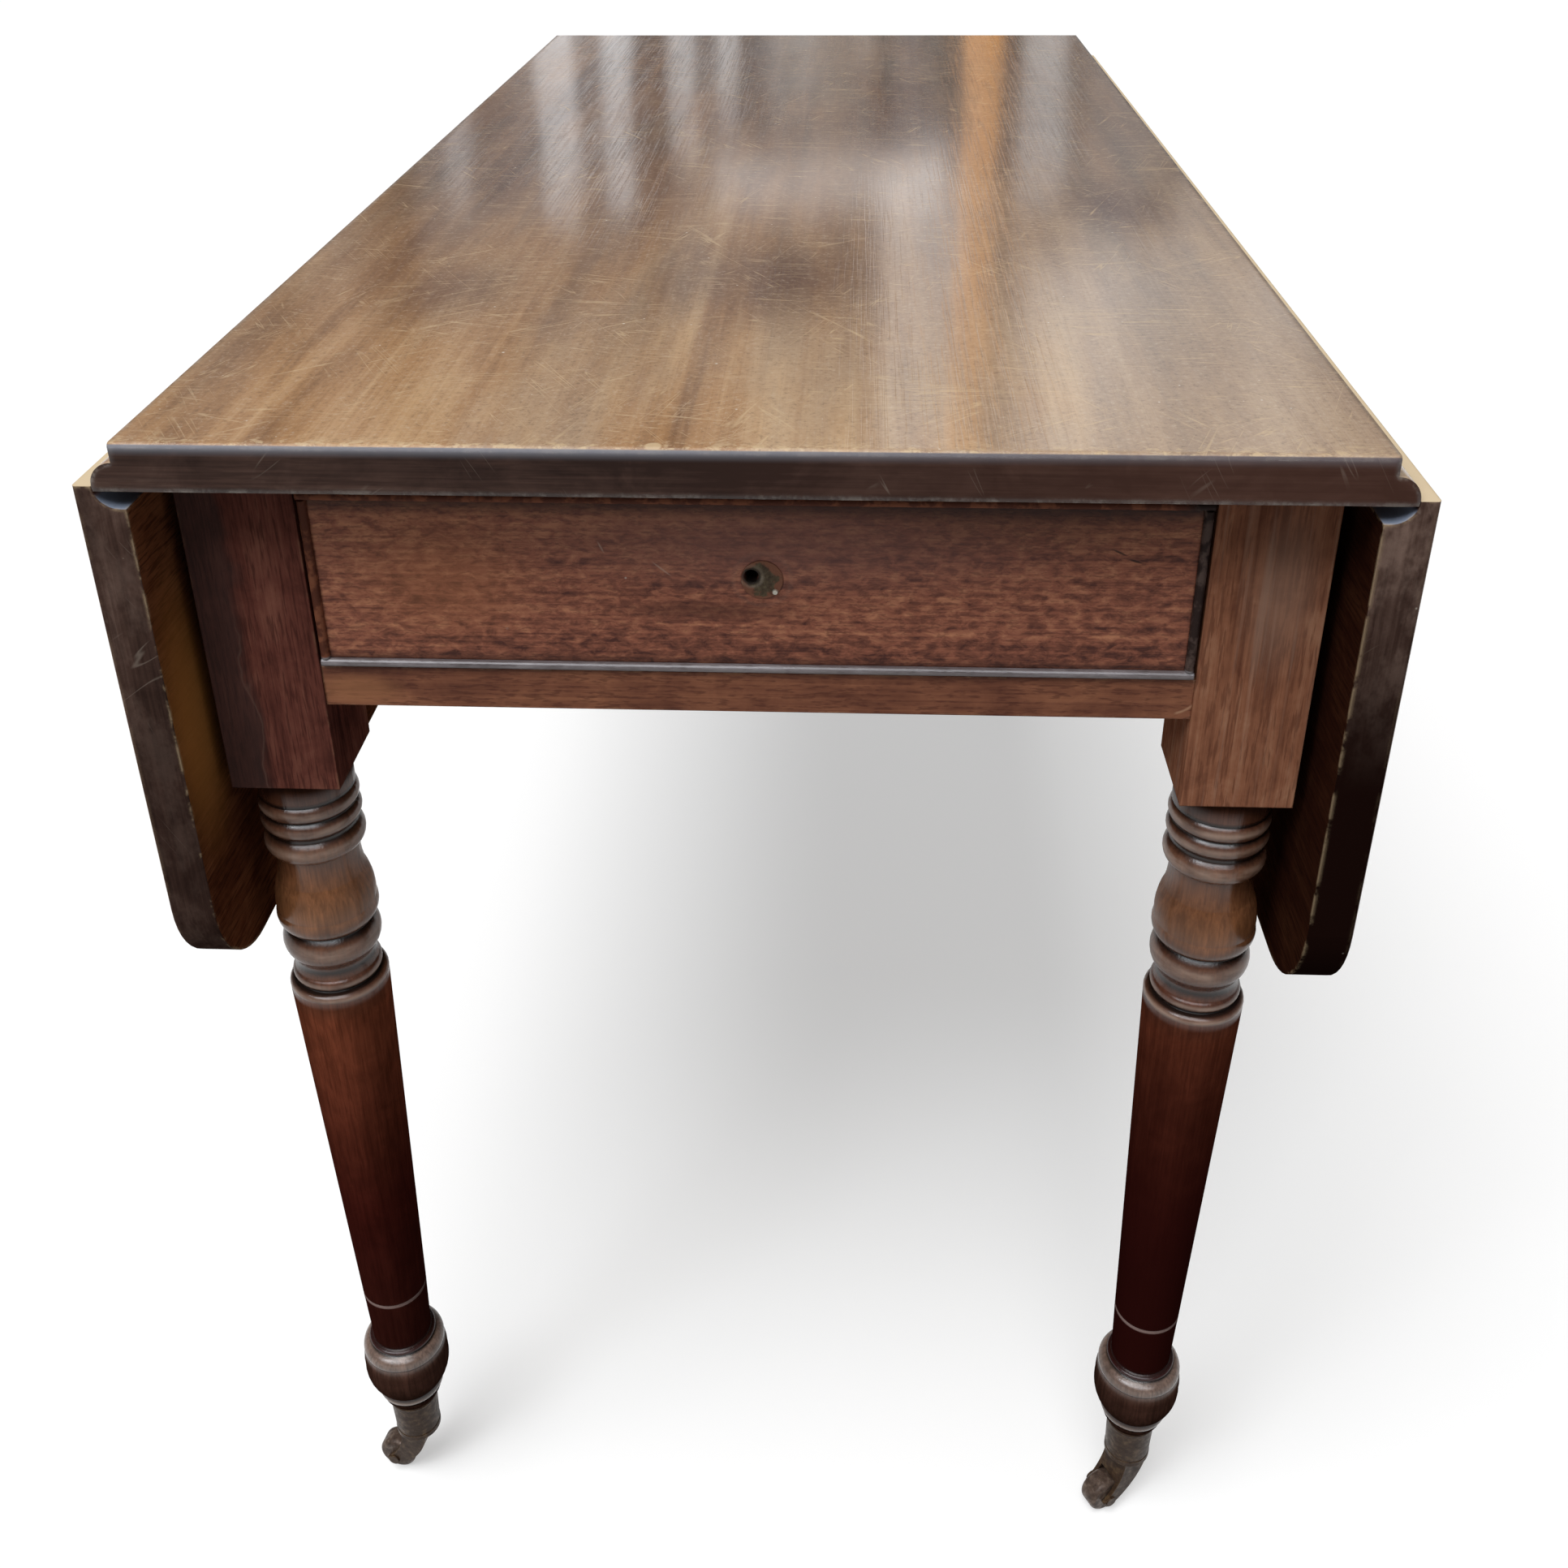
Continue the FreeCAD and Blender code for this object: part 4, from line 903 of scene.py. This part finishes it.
def corroded_plate():
    """Greenish crust over a thin plate with a ragged brown edge, a pale-rimmed hole darkened with painted
    shade, and one pin with a painted glint.
    """
    recipe = Recipe("keyhole_plate")
    crust = recipe.speckle(420.0, 4.0, 0.7)
    base = recipe.shades(crust, crust_stops)
    lumps = recipe.minus(recipe.speckle(190.0, 3.0, 0.6), 0.5)
    ragged = recipe.plus(recipe.around(plate_place, plate_size), recipe.times(lumps, 1.6))
    base = recipe.mix(recipe.ramp(ragged, 0.62, 0.82), base, plate_edge)
    hole = recipe.around(keyhole_place, hole_size)
    rim = recipe.times(recipe.near(hole, 1.0, 0.3), recipe.ramp(lumps, -0.05, 0.15, 0.3, 1.0))
    base = recipe.tinted(base, rim, 0.6, hole_rim)
    # Painted shade darkens the inside of the hole
    base = recipe.tinted(base, recipe.ramp(hole, 0.95, 0.75), 0.8, dirt_and_shade_colour)
    # Painted glint on the pin
    pin = recipe.patch(plate_pin_place, pin_size, 0.4)
    base = recipe.mix(pin, base, pin_glint_colour)
    recipe.set(Metallic=0.1, Specular_IOR_Level=0.12)
    return recipe.finish(base, recipe.ramp(pin, 0.0, 1.0, 0.62, 0.25), crust, plate_relief, plate_ease)


# Which material goes on which node

def longest_axis(name):
    """Axis of a node's longest side."""
    low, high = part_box(name)
    sizes = [b - a for a, b in zip(low, high)]
    return "XYZ"[sizes.index(max(sizes))]


def dress_by_slot():
    """Materials for the nodes of one finish, with the grain along each node's longest side."""
    metals = {
        "aged_brass": aged_metal("aged_brass", brass_tones, 0.40, 0.7),
        "aged_steel": aged_metal("aged_steel", steel_tones, 0.48, 0.5),
    }
    pine = {axis: pine_wood(axis) for axis in "XYZ"}
    woods = {axis: frame_wood(axis) for axis in "XYZ"}
    for name, node in nodes.items():
        slot = node.material_slots[0].material.name.split(".")[0]
        if slot in metals:
            wear(name, metals[slot])
        elif slot == "secondary_pine":
            wear(name, pine[longest_axis(name)])
        elif slot == "mahogany_frame":
            wear(name, woods[longest_axis(name)])


def dress():
    """Plain finishes first, then the pieces with a material of their own."""
    dress_by_slot()
    wear("top_board", top_wood())
    wear("leaf_left", leaf_wood(-1.0))
    wear("leaf_right", leaf_wood(1.0))
    wear("drawer_rail", rail_wood())
    wear("drawer_front", drawer_wood())
    wear("drawer_cockbead", bead_wood())
    wear("keyhole_plate", corroded_plate())
    wheel = aged_metal("caster_wheel", wheel_tones, 0.36, 0.6)
    for shift, corner in enumerate(block_tones, 1):
        wear("leg_" + corner, leg_wood(corner, shift))
        wear("caster_wheel_" + corner, wheel)


dress()


# Studio: pale floor, white surroundings, soft light from above

floor_reach = 40.0
floor_seen = (0.58, 0.58, 0.58, 1.0)
floor_bounce = (0.32, 0.32, 0.32, 1.0)
floor_glow = 0.45
ambient = 0.23
sun_strength = 2.6
sun_spread = math.radians(40.0)
sun_from = (-0.22, -0.34, 0.91)
key_place = (-1.4, -2.0, 2.6)
key_size = 0.7
key_power = 14.0
key_tint = (0.92, 0.96, 1.0)


def add_object(name, data):
    """New object in the scene."""
    piece = bpy.data.objects.new(name, data)
    bpy.context.scene.collection.objects.link(piece)
    return piece


def background_rays(tree):
    """1 for rays that should see the white surroundings: from the camera, gloss or glass."""
    path = tree.nodes.new("ShaderNodeLightPath")
    seen = path.outputs["Is Camera Ray"]
    for name in ("Is Glossy Ray", "Is Transmission Ray"):
        node = tree.nodes.new("ShaderNodeMath")
        node.operation = "MAXIMUM"
        tree.links.new(seen, node.inputs[0])
        tree.links.new(path.outputs[name], node.inputs[1])
        seen = node.outputs[0]
    return seen


def make_floor():
    """Wide floor that looks nearly white, and lights the table less than it looks."""
    mesh = bpy.data.meshes.new("floor")
    signs = ((-1, -1), (1, -1), (1, 1), (-1, 1))
    mesh.from_pydata([(x * floor_reach, y * floor_reach, 0.0) for x, y in signs], [], [(0, 1, 2, 3)])
    recipe = Recipe("floor")
    seen = background_rays(recipe.tree)
    recipe.set(Base_Color=recipe.mix(seen, floor_bounce, floor_seen), Roughness=0.9, Specular_IOR_Level=0.0)
    recipe.set(Emission_Color=(1.0, 1.0, 1.0, 1.0), Emission_Strength=recipe.times(seen, floor_glow))
    mesh.materials.append(recipe.material)
    add_object("floor", mesh)


# A far ring of studio cloth that only the gloss sees: soft upright folds and a few lit panels
cloth_radius = 25.0
cloth_height = 60.0
cloth_segments = 128
cloth_level = (0.08, 0.34)
cloth_tint = (0.92, 0.96, 1.0, 1.0)
fold_scale = (0.9, 0.9, 0.10)
fold_step = (0.35, 0.68)
wave_scale = 0.5
wave_degrees = (1.2, 3.0)
cool_white = (0.95, 0.98, 1.0)
# A panel is: middle and reach in degrees from +X seen from above, lowest and highest elevation
# in degrees, soft margin in degrees, gain and tint
cloth_panels = (
    ((104.4, 0.5), (0.0, 13.2), 0.5, 0.45, cool_white),
    ((100.8, 0.7), (0.0, 14.2), 0.5, 0.85, cool_white),
    ((98.6, 0.5), (0.0, 13.8), 0.5, 0.85, cool_white),
    ((96.2, 0.5), (0.0, 12.2), 0.5, 0.65, cool_white),
    ((94.4, 0.4), (0.0, 11.2), 0.5, 0.55, cool_white),
    ((91.0, 1.8), (0.0, 12.0), 0.8, 0.22, (1.0, 0.94, 0.86)),
    ((91.0, 4.2), (12.2, 14.2), 0.8, 0.80, (1.0, 1.0, 1.0)),
    ((87.6, 1.6), (13.0, 26.0), 1.2, 0.75, (0.97, 0.98, 1.0)),
    ((85.5, 0.7), (0.0, 26.0), 0.4, 0.90, (1.0, 0.44, 0.09)),
    ((83.2, 0.8), (0.0, 13.6), 0.6, 0.55, cool_white),
    ((80.8, 2.6), (15.4, 26.0), 1.4, 0.75, cool_white),
    ((75.0, 3.0), (14.0, 26.0), 1.8, 0.50, cool_white),
    ((255.0, 45.0), (30.0, 62.0), 12.0, 7.0, (0.88, 0.94, 1.0)),
)


def cloth_mesh():
    """Upright open ring."""
    mesh = bpy.data.meshes.new("cloth")
    points = []
    for index in range(cloth_segments):
        turn = 2 * math.pi * index / cloth_segments
        x, y = cloth_radius * math.cos(turn), cloth_radius * math.sin(turn)
        points += [(x, y, 0.0), (x, y, cloth_height)]
    faces = []
    for index in range(cloth_segments):
        a, b = 2 * index, 2 * ((index + 1) % cloth_segments)
        faces.append((a, b, b + 1, a + 1))
    mesh.from_pydata(points, [], faces)
    return mesh


def cloth_glow(recipe):
    """Brightness of the cloth: folds, then the lit panels."""
    x, y, z = (recipe.axis(index) for index in range(3))
    degrees = math.degrees(1.0)
    backward = recipe.calculate("ARCTAN2", recipe.times(y, -1.0), recipe.times(x, -1.0))
    angle = recipe.plus(recipe.times(backward, degrees), 180.0)
    rise = recipe.calculate("ARCTAN2", recipe.minus(z, top_surface), cloth_radius)
    rise = recipe.times(rise, degrees)
    folds = recipe.noise(recipe.scaled(fold_scale), 4.0, 0.6)
    glow = recipe.mix(1.0, cloth_tint, recipe.ramp(folds, *fold_step, *cloth_level), "MULTIPLY")
    wavy = recipe.minus(recipe.speckle(wave_scale, 3.0, 0.5, (2.0, 0.0, 5.0)), 0.5)
    angle = recipe.plus(angle, recipe.times(wavy, wave_degrees[0]))
    rise = recipe.plus(rise, recipe.times(wavy, wave_degrees[1]))
    for (middle, reach), (low, high), soft, gain, tint in cloth_panels:
        away = recipe.calculate("ABSOLUTE", recipe.minus(angle, middle))
        share = recipe.ramp(away, reach + soft / 2, reach - soft / 2)
        upright = recipe.between(rise, (low - soft, low + soft), (high + soft, high - soft))
        share = recipe.times(share, upright)
        lit = tuple(gain * part for part in tint)
        glow = recipe.mix(share, glow, (*lit, 1.0), "ADD")
    return glow


def make_cloth():
    """Ring of cloth, seen by the gloss and not by the camera."""
    mesh = cloth_mesh()
    recipe = Recipe("cloth")
    recipe.set(Base_Color=(0.0, 0.0, 0.0, 1.0), Specular_IOR_Level=0.0)
    recipe.set(Emission_Color=cloth_glow(recipe), Emission_Strength=1.0)
    mesh.materials.append(recipe.material)
    cloth = add_object("cloth", mesh)
    cloth.visible_camera = False
    cloth.visible_diffuse = False
    cloth.visible_shadow = False


def make_world():
    """White surroundings to look at, with a dimmer light from all round."""
    world = bpy.data.worlds.new("studio")
    bpy.context.scene.world = world
    world.use_nodes = True
    tree = world.node_tree
    light = tree.nodes["Background"]
    node = tree.nodes.new("ShaderNodeMapRange")
    tree.links.new(background_rays(tree), node.inputs["Value"])
    node.inputs["To Min"].default_value = ambient
    node.inputs["To Max"].default_value = 1.0
    light.inputs["Color"].default_value = (1.0, 1.0, 1.0, 1.0)
    tree.links.new(node.outputs[0], light.inputs["Strength"])


def make_lamps():
    """Wide soft sun from above, and a small lamp aimed at the keyhole."""
    sun = bpy.data.lights.new("sun", "SUN")
    sun.energy = sun_strength
    sun.angle = sun_spread
    add_object("sun", sun).rotation_euler = Vector(sun_from).to_track_quat("Z", "Y").to_euler()
    key = bpy.data.lights.new("key", "AREA")
    key.size = key_size
    key.energy = key_power
    key.color = key_tint
    lamp = add_object("key", key)
    lamp.location = key_place
    lamp.rotation_euler = (Vector(key_place) - Vector(keyhole_place)).to_track_quat("Z", "Y").to_euler()
    lamp.visible_camera = False


def make_camera():
    """Camera from its place, angles and pixel sizes."""
    data = bpy.data.cameras.new("camera")
    data.sensor_width = sensor_width
    data.lens = focal_pixels * sensor_width / image_pixels
    data.shift_x = (image_pixels / 2 - centre_pixels[0]) / image_pixels
    data.shift_y = (centre_pixels[1] - image_pixels / 2) / image_pixels
    camera = add_object("camera", data)
    turn = Matrix.Rotation(camera_turn, 4, "Z") @ Matrix.Rotation(-camera_down, 4, "X")
    turn = turn @ Matrix.Rotation(camera_roll, 4, "Y") @ Matrix.Rotation(right_angle, 4, "X")
    camera.matrix_world = Matrix.Translation(camera_place) @ turn
    bpy.context.scene.camera = camera


make_floor()
make_cloth()
make_world()
make_lamps()
make_camera()

bpy.context.scene.view_settings.view_transform = "Standard"
